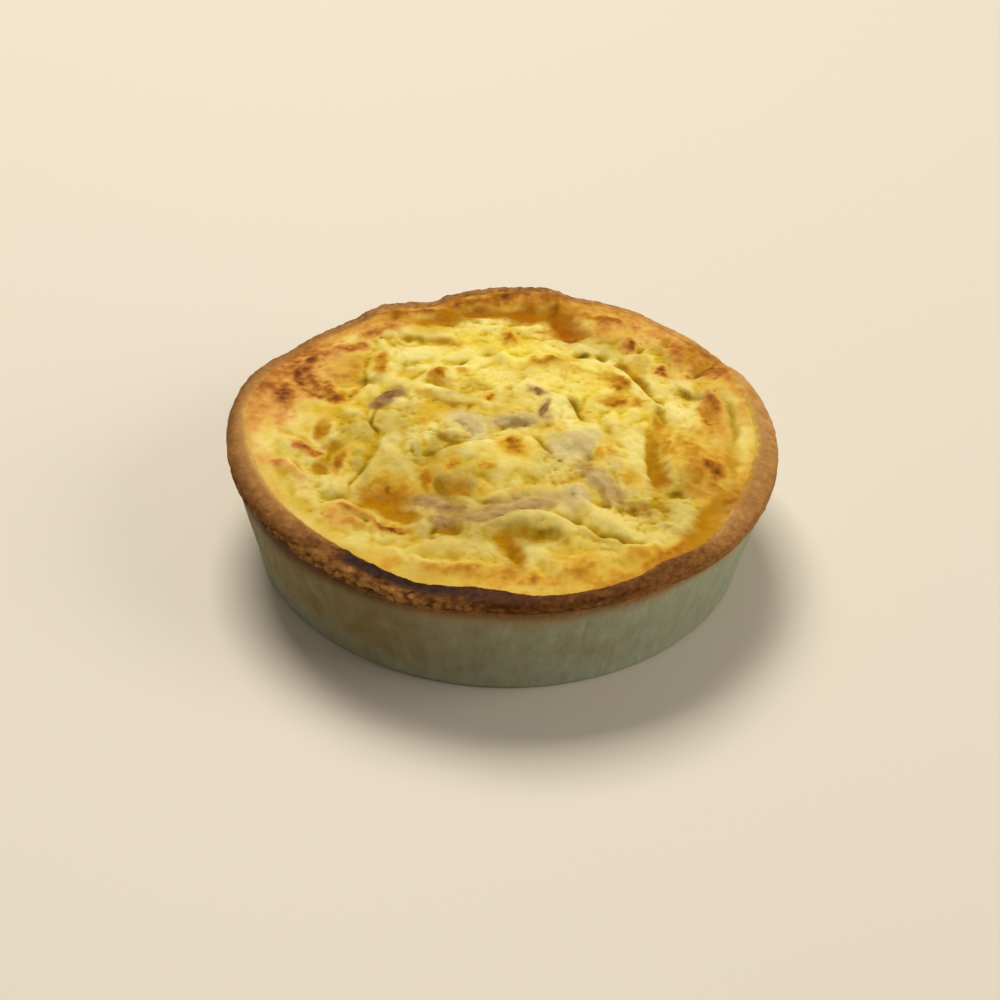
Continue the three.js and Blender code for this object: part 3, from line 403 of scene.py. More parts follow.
LEMON = [
    (0, 38, 15, 7, 0.9), (22, 21, 7, 6, 0.8), (20, 31, 9, 4, 0.8), (-10, 46, 7, 4, 0.6),
    (-20, 37, 7, 5, 0.5), (11, 26, 5, 6, 0.5), (33, 22, 2, 6, 0.4, 25), (-6, 24, 7, 5, 0.4),
    (30, 12, 6, 6, 0.5), (2, -15, 8, 5, 0.3), (38, 8, 4, 4, 0.3), (3, -65, 14, 2, 0.4, 3),
]

# Where ham shows through the skin: its tint, then the place
HAM_FILM = [
    (-0.3, -26, 9, 2.8, 5, 0.45), (-0.9, -10, 0, 5, 5, 0.6, -10), (-1, -8, -6, 3, 2, 0.5),
    (-0.6, 4, 4.4, 8, 3, 0.5, 10), (0, 11, 8, 1.8, 5.6, 0.4, -8), (-1, 20, -6, 6, 7, 0.7, -20),
    (-1, 17, -11, 3, 4, 0.6), (0.2, 22.6, -13, 1.6, 4, 0.5, 8), (-0.2, 26, -19, 4.4, 5.6, 0.5, 25),
    (0.1, 29.6, -27, 2.4, 5, 0.6, 20), (-0.8, 20.6, -29, 3, 5, 0.55), (-0.1, 5, -32, 11, 4.6, 0.85, 20),
    (-1, 18, -33, 2.6, 5, 0.6), (0, -18, -34, 6, 4, 0.8, -12), (0.8, -14.4, -36.4, 1.8, 2.8, 0.9),
    (-0.2, -14.6, -41, 3, 3, 0.5), (0, 57, 20, 2.2, 4, 0.55), (-0.7, -22, 46.4, 2.6, 1.4, 0.6),
    (0, 43, 46, 2, 3, 0.3), (-0.6, 13, -5, 2, 3, 0.3), (-1, -20, -46, 2, 4, 0.4, 25),
]

# Pieces of ham: points, width, thickness, how far each stands proud, and tint from pale (-1) to red (1)
HAM = {
    "ham_back_left": ([(-35, 8.4), (-32.8, 12.4), (-29.8, 16)], 5.2, 4.4, 0.9, 0.95),
    "ham_middle": ([(-13, 4.2), (-8.4, 1.4), (-7.2, -4)], 6.4, 3.4, 0.6, -0.8),
    "ham_ribbon": ([(-3, 1.8), (3, 2.6), (9, 4.6)], 4.8, 3.2, 0.6, -0.4),
    "ham_nub": ([(7.8, 18.9), (9, 17.4), (10.2, 15.8)], 3.2, 3, 0.7, 0.6),
    "ham_sliver": ([(10.2, 5.4), (11.2, 8.2), (11.9, 11.2)], 2.4, 2.4, 0.5, 0.6),
    "ham_right": ([(15.6, -8), (20.4, -5.6), (24.2, -1.6)], 7.4, 4, 0.6, -0.8),
    "ham_fold": ([(22.2, -15.6), (25.6, -20.6), (30.6, -27.4)], 6.6, 4, 0.7, 0),
    "ham_tab": ([(18.4, -26.2), (20.8, -28.2), (21, -31.6)], 5, 3, 0.5, -0.5),
    "ham_strip": ([(-7.4, -39.6), (0, -36.8), (8, -33.6), (15.8, -31)], 7.4, 4.4, 0.9, 0.1),
    "ham_curl": ([(-22.4, -32.6), (-17, -33.8), (-12, -35.6)], 6, 3.6, 0.7, 0.35),
    "ham_tip": ([(-17.2, -41.4), (-14.6, -41.2), (-12, -41.8)], 4.2, 3, 0.5, 0.5),
}


# Helpers for arrays

# Large odd numbers that tell the cells of a net, and one net from the next, apart
CELL_STEPS = (374761393, 668265263, 2147483647)
SEED_STEP = 982451653
SCRAMBLER = 1274126177
LOW_BITS = 0xFFFFFFFF


def smooth(t):
    """A soft step from 0 at 0 to 1 at 1."""
    t = np.clip(t, 0, 1)
    return t * t * (3 - 2 * t)


def on_floor(x, y):
    """Places with no height, which is how noise for the custard is looked up."""
    return np.stack([x, y, np.zeros_like(x)], -1)


def scrambled(cell, seed, keep=-1):
    """A whole number for each cell of a net, with nothing in common between neighbours."""
    number = sum(cell[..., k] * CELL_STEPS[k] for k in range(cell.shape[-1])) + seed * SEED_STEP
    number = number & keep
    number = ((number ^ (number >> 13)) * SCRAMBLER) & keep
    return number ^ (number >> 16)


def noise(points, size, seed=0):
    """Even noise between about -1 and 1, with lumps of the given size, at an array of points."""
    p = np.asarray(points, float) / size + seed * 17.31
    cell = np.floor(p).astype(np.int64)
    part = p - cell
    ease = part * part * part * (part * (part * 6 - 15) + 10)
    total = np.zeros(p.shape[:-1])
    for corner in np.ndindex(2, 2, 2):
        mixed = scrambled(cell + corner, seed)
        slopes = np.stack([(mixed >> shift) & 1023 for shift in (0, 10, 20)], -1) / 511.5 - 1
        weight = np.prod(np.where(corner, ease, 1 - ease), axis=-1)
        total += weight * np.sum(slopes * (part - corner), axis=-1)
    return total * 1.5


def layered(points, size, seed=0, octaves=4, fall=0.5):
    """Noise with finer and finer lumps added."""
    total, strength = 0, 1
    for octave in range(octaves):
        total = total + strength * noise(points, size / 2**octave, seed + octave)
        strength *= fall
    return total


def pits(x, y, size, seed=0):
    """Distance, in cell sizes, to the nearest of a jittered net of points."""
    p = np.stack([x, y], -1) / size
    cell = np.floor(p).astype(np.int64)
    nearest = np.full(x.shape, 9.0)
    for step in np.ndindex(3, 3):
        at = cell + step - 1
        mixed = scrambled(at, seed, LOW_BITS)
        jitter = np.stack([mixed & 1023, (mixed >> 10) & 1023], -1) / 1023
        nearest = np.minimum(nearest, np.linalg.norm(at + jitter - p, axis=-1))
    return nearest


def wandered(x, y, wander):
    """Places moved about by noise, from rows of how far, size of lumps, and the seeds for x and y."""
    flat = on_floor(x, y)
    moved = [sum(far * noise(flat, size, seeds[k]) for far, size, *seeds in wander) for k in (0, 1)]
    return x + moved[0], y + moved[1]


def compass(x, y):
    return np.degrees(np.arctan2(y, x))


def round_the_rim(table, degrees, column=1):
    """Value at compass angles, eased between the entries of a table that runs once round."""
    at = np.array([row[0] for row in table], float)
    value = np.array([row[column] for row in table], float)
    turn = (np.asarray(degrees, float) + 180) % 360 - 180
    after = np.searchsorted(at, turn, side="right")
    low, high = (after - 1) % len(at), after % len(at)
    span = (at[high] - at[low]) % 360
    return value[low] + (value[high] - value[low]) * smooth(((turn - at[low]) % 360) / span)


def each_place(table, x, y):
    """Strength of each row of a table of places, and the squared distance from it, 1 at its edge."""
    for cx, cy, long, wide, strength, *turn in table:
        a = math.radians(sum(turn))
        along = ((x - cx) * math.cos(a) + (y - cy) * math.sin(a)) / long
        across = ((y - cy) * math.cos(a) - (x - cx) * math.sin(a)) / wide
        yield strength, along**2 + across**2


def blobs(table, x, y):
    """Sum of soft round patches."""
    return sum(strength * np.exp(-away) for strength, away in each_place(table, x, y))


def patches(table, x, y):
    """The strongest of several patches with fuller middles, between 0 and 1."""
    clear = np.ones(x.shape)
    for strength, away in each_place(table, x, y):
        clear = clear * (1 - strength * np.exp(-(away**1.5)))
    return 1 - clear


def rounded(line):
    """A line of points with its corners cut twice."""
    for _ in range(2):
        cut = [line[0]]
        for (ax, ay), (bx, by) in zip(line, line[1:]):
            cut.append((0.75 * ax + 0.25 * bx, 0.75 * ay + 0.25 * by))
            cut.append((0.25 * ax + 0.75 * bx, 0.25 * ay + 0.75 * by))
        line = cut + [line[-1]]
    return line


def from_line(line, x, y):
    """Distance to a line of points, the same with a sign (positive on its left), and a fade at its ends."""
    nearest = np.full(x.shape, 1e9)
    signed = np.full(x.shape, 1e9)
    walked = np.zeros(x.shape)
    so_far = 0
    for (ax, ay), (bx, by) in zip(line, line[1:]):
        length = math.hypot(bx - ax, by - ay)
        t = np.clip(((x - ax) * (bx - ax) + (y - ay) * (by - ay)) / length**2, 0, 1)
        distance = np.hypot(x - ax - t * (bx - ax), y - ay - t * (by - ay))
        left = (bx - ax) * (y - ay) - (by - ay) * (x - ax) > 0
        closer = distance < nearest
        signed = np.where(closer, np.where(left, distance, -distance), signed)
        walked = np.where(closer, so_far + t * length, walked)
        nearest = np.where(closer, distance, nearest)
        so_far += length
    fade = smooth(walked / END_FADE) * smooth((so_far - walked) / END_FADE)
    return nearest, signed, fade


def spread(grid, reach):
    """A grid blurred over a number of cells each way."""
    for axis in (0, 1):
        rows = np.moveaxis(grid, axis, 0)
        total = np.cumsum(np.pad(rows, ((reach + 1, reach), (0, 0)), mode="edge"), axis=0)
        window = 2 * reach + 1
        grid = np.moveaxis((total[window:] - total[:-window]) / window, 0, axis)
    return grid


def srgb(r, g, b):
    """A colour on a screen's 0 to 255 scale, as the linear colour that shaders use."""
    return np.array([((c / 255 + 0.055) / 1.055) ** 2.4 if c > 10 else c / 255 / 12.92 for c in (r, g, b)])


def mix(color, other, amount):
    amount = np.clip(amount, 0, 1)[..., None]
    return color * (1 - amount) + other * amount


def ramp(stops, level):
    """Colour at an array of levels, between stops of level and colour."""
    at = [stop for stop, _ in stops]
    return np.stack([np.interp(level, at, [color[c] for _, color in stops]) for c in range(3)], -1)


# Helpers for meshes


def make_mesh(name, points, faces, colors, roughness):
    """An object from points in millimetres, with a colour and a roughness for each point."""
    mesh = bpy.data.meshes.new(name)
    mesh.from_pydata((np.asarray(points) * MM).tolist(), [], faces)
    tint = mesh.attributes.new("tint", "FLOAT_COLOR", "POINT")
    tint.data.foreach_set("color", np.insert(colors, 3, 1, axis=-1).astype(np.float32).ravel())
    matte = mesh.attributes.new("matte", "FLOAT", "POINT")
    matte.data.foreach_set("value", np.asarray(roughness, np.float32).ravel())
    mesh.shade_smooth()
    thing = bpy.data.objects.new(name, mesh)
    bpy.context.collection.objects.link(thing)
    return thing


def quads(low, low_next, high_next, high):
    return np.stack([low, low_next, high_next, high], -1).reshape(-1, 4).tolist()


def make_ringed(name, points, colors, roughness):
    """An object from rings of points, where the first ring is all in one place, and so is the last."""

    def laid(grid):
        middle = grid[1:-1].reshape(-1, *grid.shape[2:])
        return np.concatenate([middle, grid[[0, -1], 0]])

    rings, steps = len(points) - 2, points.shape[1]
    index = np.arange(rings * steps).reshape(rings, steps)
    after = np.roll(index, -1, axis=1)
    faces = quads(index[:-1], after[:-1], after[1:], index[1:])
    faces += [[index.size, int(b), int(a)] for a, b in zip(index[0], after[0])]
    faces += [[index.size + 1, int(a), int(b)] for a, b in zip(index[-1], after[-1])]
    return make_mesh(name, laid(points), faces, laid(colors), laid(roughness))


# Shape of the custard

CUSTARD_CELLS = 310

# How far the custard's forms wander from where the tables put them: distance, size, seeds for x and y
FORM_WANDER = [(1.2, 8, 3, 5), (0.25, 3, 4, 6)]

# Shares of the relief that ridges and creases, lips of folds, and the dips beside them have
GROOVE_SHARE = 0.8
LIP_LIFT = 0.75
DIP_SHARE = 0.4

# How sharply a lip turns over, and the half width of the dip beside it
LIP_TURN = 1.2
DIP_WIDTH = 2.2

# Heights of the finer relief
PUFF_HEIGHT = 1
SMALL_PUFF_HEIGHT = 0.85
DIMPLE_HEIGHT = 0.24
GRAIN_HEIGHT = 0.1
CURD_HEIGHT = 0.36
SAG_HEIGHT = 0.3
WRINKLE_DEPTH = 0.26
PIT_DEPTH = 0.38
PIT_SPACING = 3.1


def crest_at(degrees):
    return round_the_rim(CREST_HEIGHTS, degrees)


def inner_at(degrees):
    return round_the_rim(INNER_RADII, degrees)


def shoulder_at(degrees):
    return SHOULDER_RADIUS - round_the_rim(SHOULDER_SHRINKAGE, degrees)


def custard_reach(degrees):
    """Radius at which the custard meets the rounded rim."""
    half = (shoulder_at(degrees) - inner_at(degrees)) / 2
    up = 1 - np.clip(round_the_rim(CUSTARD_DROPS, degrees) / RIM_ROUNDING, 0, 1)
    return inner_at(degrees) + half * (1 - np.sqrt(1 - up**2))


def creased(x, y):
    """Rise of the ridges, creases and folds, as a share of the relief."""
    rise = np.zeros(x.shape)
    for line, wide, high in GROOVES:
        near, _, fade = from_line(rounded(line), x, y)
        rise += GROOVE_SHARE * high * fade * np.exp(-((near / wide) ** 2))
    for line, lift, reach, deep in FOLDS:
        near, side, fade = from_line(rounded(line), x, y)
        lip = lift * np.exp(-near / reach) * smooth(0.5 + side / LIP_TURN)
        dip = deep * np.exp(-((near / DIP_WIDTH) ** 2)) * smooth(0.5 - side / LIP_TURN)
        rise += fade * (LIP_LIFT * lip - DIP_SHARE * dip)
    return rise


def puffs(points, size, seed):
    """Rounded lumps with soft creases between them, around zero."""
    return np.sqrt(noise(points, size, seed) ** 2 + 0.01) - 0.32


def fine_relief(flat, warped, lumpy, grain):
    """Puffs, curds, wrinkles and pits, weaker where the skin is smooth."""
    rise = PUFF_HEIGHT * puffs(warped, 11, 8) + SMALL_PUFF_HEIGHT * puffs(warped, 6, 9)
    rise = lumpy * (rise + DIMPLE_HEIGHT * noise(warped, 3.4, 10))
    rise += (GRAIN_HEIGHT * lumpy + CURD_HEIGHT * grain) * layered(flat, 1.6, 12, 2)
    wrinkled = lumpy * smooth(1.5 * noise(flat, 12, 16) + 0.2 + 0.4 * grain)
    rise -= WRINKLE_DEPTH * wrinkled * np.exp(-((noise(warped, 6.4, 17) / 0.09) ** 2))
    pitted = lumpy * np.clip(0.25 + 0.9 * noise(flat, 11, 14) + 0.7 * grain, 0, 1)
    near_pit = pits(warped[..., 0], warped[..., 1], PIT_SPACING, 15)
    rise -= PIT_DEPTH * pitted * np.exp(-((near_pit / 0.17) ** 2))
    return rise + SAG_HEIGHT * noise(flat, 14, 11)


def custard_top(x, y):
    """Height of the custard's top at arrays of places."""
    flat = on_floor(x, y)
    warped_x, warped_y = wandered(x, y, FORM_WANDER)
    lumpy = 1 - 0.6 * np.clip(blobs(SMOOTH_PLACES, x, y), 0, 1)
    grain = np.clip(blobs(GRAINY_PLACES, x, y), 0, 1)
    uneven = 0.85 + 0.4 * noise(flat, 7, 7)
    form = blobs(SWELLS, warped_x, warped_y) + uneven * creased(warped_x, warped_y)
    z = CUSTARD_LEVEL + RELIEF_DEPTH * form + fine_relief(flat, on_floor(warped_x, warped_y), lumpy, grain)
    degrees = compass(x, y)
    edge = crest_at(degrees) - round_the_rim(CUSTARD_DROPS, degrees)
    from_rim = custard_reach(degrees) - np.hypot(x, y)
    return edge + (z - edge) * smooth(from_rim / EDGE_BLEND)


# Colours of the custard

CUSTARD_YELLOW = srgb(223, 186, 60)
CUSTARD_PALE = srgb(246, 228, 138)
CUSTARD_LEMON = srgb(251, 229, 82)
CUSTARD_GOLD_SHADE = srgb(204, 156, 18)
CUSTARD_OLIVE_AND_SHADE = srgb(150, 118, 2)
CUSTARD_AMBER = srgb(180, 122, 1)
CUSTARD_RUST = srgb(160, 86, 1)
CUSTARD_BURNT = srgb(104, 54, 1)
HAM_TINTS = [(-1, srgb(220, 200, 136)), (0, srgb(190, 154, 89)), (1, srgb(128, 72, 30))]

# Browning: light gold to brown, and the more tan browning of some parts of the edge
TOAST = [
    (0.15, srgb(230, 192, 66)), (0.4, srgb(214, 162, 40)), (0.7, srgb(174, 108, 12)), (1.1, srgb(106, 58, 4)),
]
CRUST = [
    (0.15, srgb(234, 190, 100)), (0.4, srgb(220, 158, 74)), (0.7, srgb(184, 112, 42)),
    (1.1, srgb(112, 58, 26)),
]

# How tan the browning near the rim is, by compass angle
TANNED = [
    (-170, 1), (-140, 0.9), (-110, 0.3), (-60, 0.15), (-10, 0.35), (30, 0.7), (52, 0.9), (72, 0.5),
    (95, 0.3), (125, 0.7), (150, 1),
]

# Browning of the custard where it meets the rim, by compass angle: how much, and how far in
EDGE_BROWNING = [
    (-168, 0.22, 3), (-140, 0.14, 2), (-110, 0.15, 2), (-80, 0.35, 3), (-50, 0.45, 3), (-25, 0.45, 3),
    (2, 0.2, 2), (30, 0.4, 3.6), (60, 0.4, 4.6), (90, 0.52, 4), (120, 0.5, 4.6), (140, 0.42, 3),
    (155, 0.6, 4.4), (172, 0.42, 4),
]

# Share of red, green and blue that is lost in a hollow, where light bounces between yellow sides
HOLLOW_FILTER = np.array([0.03, 0.1, 0.7])

# The same, darker towards the front: from how far forward, and over what distance it comes in
FRONT_FILTER = np.array([0.13, 0.17, 0.3])
FRONT_START = -2
FRONT_FADE = 30

# How far patches of colour wander from where the tables put them: distance, size, seeds for x and y
COLOR_WANDER = [(1.6, 6, 21, 23), (0.9, 2.4, 91, 94), (0.45, 1.2, 92, 95)]

# How much of the skin's colour the ham under it takes over, along a piece and in a patch beside one
HAM_UNDER_SKIN = 0.85
HAM_IN_PATCH = 0.7


def skin_places(x, y, hollow, small_hollow):
    """What the colours of the custard depend on, at each place."""
    at = SimpleNamespace(hollow=hollow, small_hollow=small_hollow, y=y)
    flat = on_floor(x, y)
    at.x_warped, at.y_warped = wandered(x, y, COLOR_WANDER)
    at.cloudy = layered(flat, 11, 25, 2, 0.5)
    at.patchy = layered(flat, 6, 26, 3, 0.6)
    at.speckle = layered(flat, 2, 29, 2, 0.6)
    at.raised = np.clip(-hollow - 1.5 * small_hollow, -1, 1)
    at.radius = np.hypot(x, y)
    at.degrees = compass(x, y)
    return at


def in_patches(table, at):
    return patches(table, at.x_warped, at.y_warped)


def unbaked_color(at):
    """Yellows of the custard before browning, with painted highlight on raised places and painted shade in
    hollows, and the share of greener colour with painted shade at each place.
    """
    ragged = 1 + 0.35 * at.patchy + 0.3 * at.speckle
    # Paler with random cloudy tone, and paler on raised places, here and in the pale patches: painted
    # highlight on the tops
    pale = 0.4 + 0.7 * at.cloudy + 0.6 * at.raised
    lemon = 0.8 * in_patches(LEMON, at) * ragged
    pale_patches = 0.85 * in_patches(PALE, at) * (ragged + 0.4 * at.raised)
    # Gold in the small hollows is painted shade
    gold_shade = 1.2 * np.clip(at.small_hollow - 0.05, 0, 0.5) - 0.5 * at.cloudy - 0.1
    olive_and_shade = in_patches(OLIVE_AND_SHADE, at) * ragged
    color = mix(CUSTARD_YELLOW, CUSTARD_PALE, pale)
    color = mix(color, CUSTARD_LEMON, lemon)
    color = mix(color, CUSTARD_PALE, pale_patches)
    color = color * (1 + 0.03 * at.speckle)[..., None]
    color = mix(color, CUSTARD_GOLD_SHADE, gold_shade)
    # Olive patches, and olive painted shade deeper in the hollows
    color = mix(color, CUSTARD_OLIVE_AND_SHADE, 0.75 * olive_and_shade + 0.85 * np.clip(at.hollow - 0.1, 0, 0.8))
    sunken = smooth((at.hollow + 0.9 * at.small_hollow + 0.12) / 0.8)
    forward = smooth((FRONT_START - at.y) / FRONT_FADE)
    color = color * (1 - sunken[..., None] * HOLLOW_FILTER) * (1 - forward[..., None] * FRONT_FILTER)
    return color, olive_and_shade


def over_ham(color, at):
    """The colour with the ham that shows through the skin, and how much of it shows."""
    veil = np.zeros(at.y.shape)
    films = []
    for line, wide, _, _, tint in HAM.values():
        away = from_line(line, at.x_warped, at.y_warped)[0] / (wide / 2)
        films.append((tint, HAM_UNDER_SKIN * np.exp(-(away**3))))
    films += [(tint, HAM_IN_PATCH * in_patches([patch], at)) for tint, *patch in HAM_FILM]
    for tint, film in films:
        color = mix(color, ramp(HAM_TINTS, tint + 0.5 * at.patchy), film)
        veil = np.maximum(veil, film)
    return color, veil


def toasting(at):
    """How browned each place is, from 0 to about 1."""
    from_rim = np.clip(inner_at(at.degrees) - at.radius, 0, None)
    edge = round_the_rim(EDGE_BROWNING, at.degrees)
    edge = edge * np.exp(-((from_rim / round_the_rim(EDGE_BROWNING, at.degrees, 2)) ** 2))
    golden = 1 - (1 - 0.6 * in_patches(TOASTED, at)) * (1 - edge)
    golden = golden * (1 + 0.35 * at.patchy + 0.25 * at.speckle + 0.5 * at.raised)
    brown = 0.45 * in_patches(BROWNED, at) * (1 + 0.7 * at.speckle)
    high = 0.1 * np.clip(at.raised + 0.6 * at.patchy, 0, 1) * smooth((at.radius - 20) / 30)
    return golden + brown + high


def custard_look(x, y, hollow, small_hollow):
    """Colour and roughness of the custard, given how far each place lies below what is around it."""
    at = skin_places(x, y, hollow, small_hollow)
    color, olive_and_shade = unbaked_color(at)
    color, veil = over_ham(color, at)
    toast = toasting(at)
    tanned = smooth((at.radius - 42) / 18) * round_the_rim(TANNED, at.degrees)
    toasted = mix(ramp(TOAST, toast), ramp(CRUST, toast), tanned)
    color = mix(color, toasted, smooth((toast - 0.02) / 0.4))
    amber = in_patches(AMBER, at) * (1 + 0.3 * at.patchy - 0.15 * np.clip(at.raised, 0, 1))
    pool = mix(CUSTARD_AMBER, CUSTARD_RUST, 1.5 * in_patches(DEEP_AMBER, at))
    pool = mix(pool, CUSTARD_BURNT, toast - 0.5 + 0.1 * np.clip(at.patchy, 0, 1))
    color = mix(color, pool, 1.12 * amber)
    # Painted shade: the deepest small hollows darkened towards a dark olive
    color = mix(color, CUSTARD_OLIVE_AND_SHADE * 0.5, 2 * np.clip(small_hollow - 0.22, 0, 0.4))
    rough = 0.5 - 0.06 * np.clip(amber + olive_and_shade + veil, 0, 1) + 0.05 * at.speckle
    return np.clip(color, 0, 1), np.clip(rough, 0.2, 0.7)


def disc_grid(n):
    """Points of the unit disc for a square net of n cells, whose squares become rings."""
    u, v = np.meshgrid(np.linspace(-1, 1, n + 1), np.linspace(-1, 1, n + 1))
    wider = np.abs(u) > np.abs(v)
    ring = np.maximum(np.abs(u), np.abs(v))
    with np.errstate(divide="ignore", invalid="ignore"):
        a = np.where(wider, math.pi / 4 * v / u, math.pi / 2 - math.pi / 4 * u / v)
    side = np.where(np.where(wider, u, v) < 0, -1, 1)
    x, y = side * ring * np.cos(a), side * ring * np.sin(a)
    return np.where(ring == 0, 0, x), np.where(ring == 0, 0, y)


def make_custard():
    """The top as a fine net, with plain sides that run in to a flat underside."""
    n = CUSTARD_CELLS
    disc_x, disc_y = disc_grid(n)
    reach = custard_reach(compass(disc_x, disc_y)) + EDGE_OVERLAP
    x, y = disc_x * reach, disc_y * reach
    z = custard_top(x, y)
    color, rough = custard_look(x, y, spread(z, 8) - z, spread(z, 3) - z)
    index = np.arange((n + 1) ** 2).reshape(n + 1, n + 1)
    faces = quads(index[:-1, :-1], index[:-1, 1:], index[1:, 1:], index[1:, :-1])
    top = np.stack([x, y, z], -1).reshape(-1, 3)
    border = np.concatenate([index[0, :-1], index[:-1, n], index[n, :0:-1], index[:0:-1, 0]])
    inward = (INNER_FLOOR_RADIUS - FLOOR_GAP) / np.hypot(top[border, 0], top[border, 1])
    lower = top[border] * inward[:, None]
    lower[:, 2] = FLOOR_THICKNESS + FLOOR_GAP
    count = len(border)
    foot = len(top) + np.arange(count)
    faces += quads(border, foot, np.roll(foot, -1), np.roll(border, -1))
    faces.append(foot[::-1].tolist())
    points = np.concatenate([top, lower])
    colors = np.concatenate([color.reshape(-1, 3), np.tile(CUSTARD_YELLOW, (count, 1))])
    roughness = np.concatenate([rough.ravel(), np.full(count, 0.5)])
    return make_mesh("custard", points, faces, colors, roughness)


# Shape of the pastry case

CASE_STEPS = 900

# Steps up the wall, round the base, under the rim, up its side, over its top and down its inner face
WALL_STEPS = 30
BASE_STEPS = 5
UNDER_RIM_STEPS = 5
RIM_SIDE_STEPS = 6
RIM_TOP_STEPS = 30
INNER_STEPS = 9

# Where the wall turns out to the shoulder: how far out and how far up
TURN_OUT = 1
TURN_UP = 0.8

# How far the inner face draws in under the rim, and down to what height
INNER_DRAW = 2.6
INNER_DRAW_HEIGHT = 20

# Radius inside which the pastry stays plain, and where the rim's outer side begins and how soon it is full
PLAIN_INSIDE = 64
OUTER_SIDE = 71
OUTER_FADE = 2.5

# Flakes are fullest this far above the rim's lower edge, begin this far out and are this large
FLAKE_LEVEL = 0.9
FLAKE_RADIUS = 70
FLAKE_SIZE = 1.3

# How dark the rim is baked at its inner edge, top and outer edge, by compass angle: 0 pale, 1 scorched
RIM_BAKE = [
    (-168, 0.26, 0.5, 0.66), (-150, 0.34, 0.56, 0.7), (-136, 0.52, 0.62, 0.72), (-127, 0.64, 0.72, 0.64),
    (-119, 0.98, 1, 0.58), (-110, 1, 1.02, 0.56), (-101, 0.96, 0.98, 0.72), (-90, 0.84, 0.88, 0.82),
    (-72, 0.68, 0.78, 0.78), (-52, 0.66, 0.76, 0.68), (-30, 0.38, 0.5, 0.56), (-10, 0.54, 0.5, 0.5),
    (10, 0.54, 0.44, 0.42), (30, 0.5, 0.42, 0.36), (50, 0.38, 0.42, 0.44), (70, 0.45, 0.5, 0.62),
    (88, 0.5, 0.58, 0.66), (100, 0.55, 0.58, 0.66), (118, 0.5, 0.54, 0.64), (140, 0.42, 0.54, 0.64),
    (158, 0.44, 0.56, 0.64), (172, 0.3, 0.52, 0.68),
]

# How far out across the rim the custard's skin runs, by compass angle
RIM_SKIN = [
    (-168, 0.35), (-150, 0.2), (-134, 0), (-110, -0.3), (-60, -0.3), (-40, 0), (-20, 0.2), (5, 0.3),
    (35, 0.6), (60, 0.5), (90, 0.15), (125, 0.2), (148, 0.4), (160, 0.35), (172, 0.45),
]

# How dark the wall is just under the rim, partly baked brown and partly painted shadow under the rim's
# overhang, and how far down, by compass angle
UNDER_RIM_BAKE_AND_SHADE = [
    (-170, 0.66, 2), (-158, 0.78, 3.4), (-140, 0.84, 4), (-120, 0.86, 3), (-100, 0.7, 2), (-80, 0.66, 2.4),
    (-62, 0.62, 2), (-40, 0.6, 1.4), (-10, 0.5, 1), (60, 0.55, 1.4), (110, 0.6, 2), (160, 0.55, 1.6),
]

# How much the rim's lower edge flakes, and how far up from it, by compass angle
FLAKES = [
    (-172, 0.1, 0.8), (-160, 0.6, 0.9), (-142, 0.8, 1.2), (-128, 1, 2.2), (-108, 1, 2.2), (-98, 0.7, 1.5),
    (-88, 0.3, 1), (-60, 0.3, 0.9), (-30, 0.3, 0.9), (0, 0.15, 0.8), (60, 0.3, 1), (100, 0.6, 1.2),
    (150, 0.3, 1),
]

# How brown and dark the wall is, by compass angle: partly baked brown, and partly painted warm shade,
# strongest on the front left
WALL_BROWNING_AND_SHADE = [
    (-170, 0.6), (-140, 0.85), (-115, 0.95), (-96, 0.5), (-78, 0.15), (-40, 0), (60, 0.2), (130, 0.5),
]

# How crumbly the rim is, by compass angle
CRUMBLINESS = [
    (-165, 0.15), (-140, 0.45), (-118, 0.9), (-96, 0.7), (-66, 0.4), (-40, 0.6), (-15, 0.25), (25, 0.25),
    (60, 0.6), (92, 0.9), (125, 0.8), (155, 0.35),
]

# Faint tan patches on the wall, with the compass angle and the height as their place
WALL_STAINS = [
    (-72, 15, 5, 5, 0.4), (-65, 10, 3, 5, 0.4), (-100, 27, 8, 3, 0.7), (-82, 27, 10, 3, 0.9),
    (-60, 28, 9, 3, 0.8), (-125, 28, 8, 2, 0.5), (-38, 27, 6, 3, 0.5), (20, 20, 9, 5, 0.3),
    (100, 25, 14, 4, 0.5), (150, 18, 8, 5, 0.3),
]

WALL_PALE = srgb(160, 164, 136)
# A shaded brown for the wall: its baked colour together with painted shade
WALL_SHADED_BROWN = srgb(134, 116, 76)
WALL_STAIN = srgb(170, 120, 62)
# Flakes: pale tan tops, partly their own colour and partly painted highlight, and dark gaps between them,
# painted shade
FLAKE_TAN_AND_HIGHLIGHT = srgb(212, 152, 80)
FLAKE_GAP_SHADE = srgb(96, 56, 22)
BAKED = [
    (0.18, srgb(226, 190, 116)), (0.35, srgb(206, 158, 88)), (0.5, srgb(174, 122, 64)),
    (0.65, srgb(138, 90, 40)), (0.8, srgb(94, 52, 18)), (0.95, srgb(56, 29, 12)), (1.1, srgb(38, 19, 11)),
]


def lip_at(degrees):
    """Height of the shoulder, where the rim ends and the wall begins."""
    crest = crest_at(degrees)
    usual = SHOULDER_HEIGHT + LIP_SHARE * (crest - USUAL_CREST)
    return np.minimum(usual, crest - RIM_ROUNDING - LEAST_UPRIGHT)


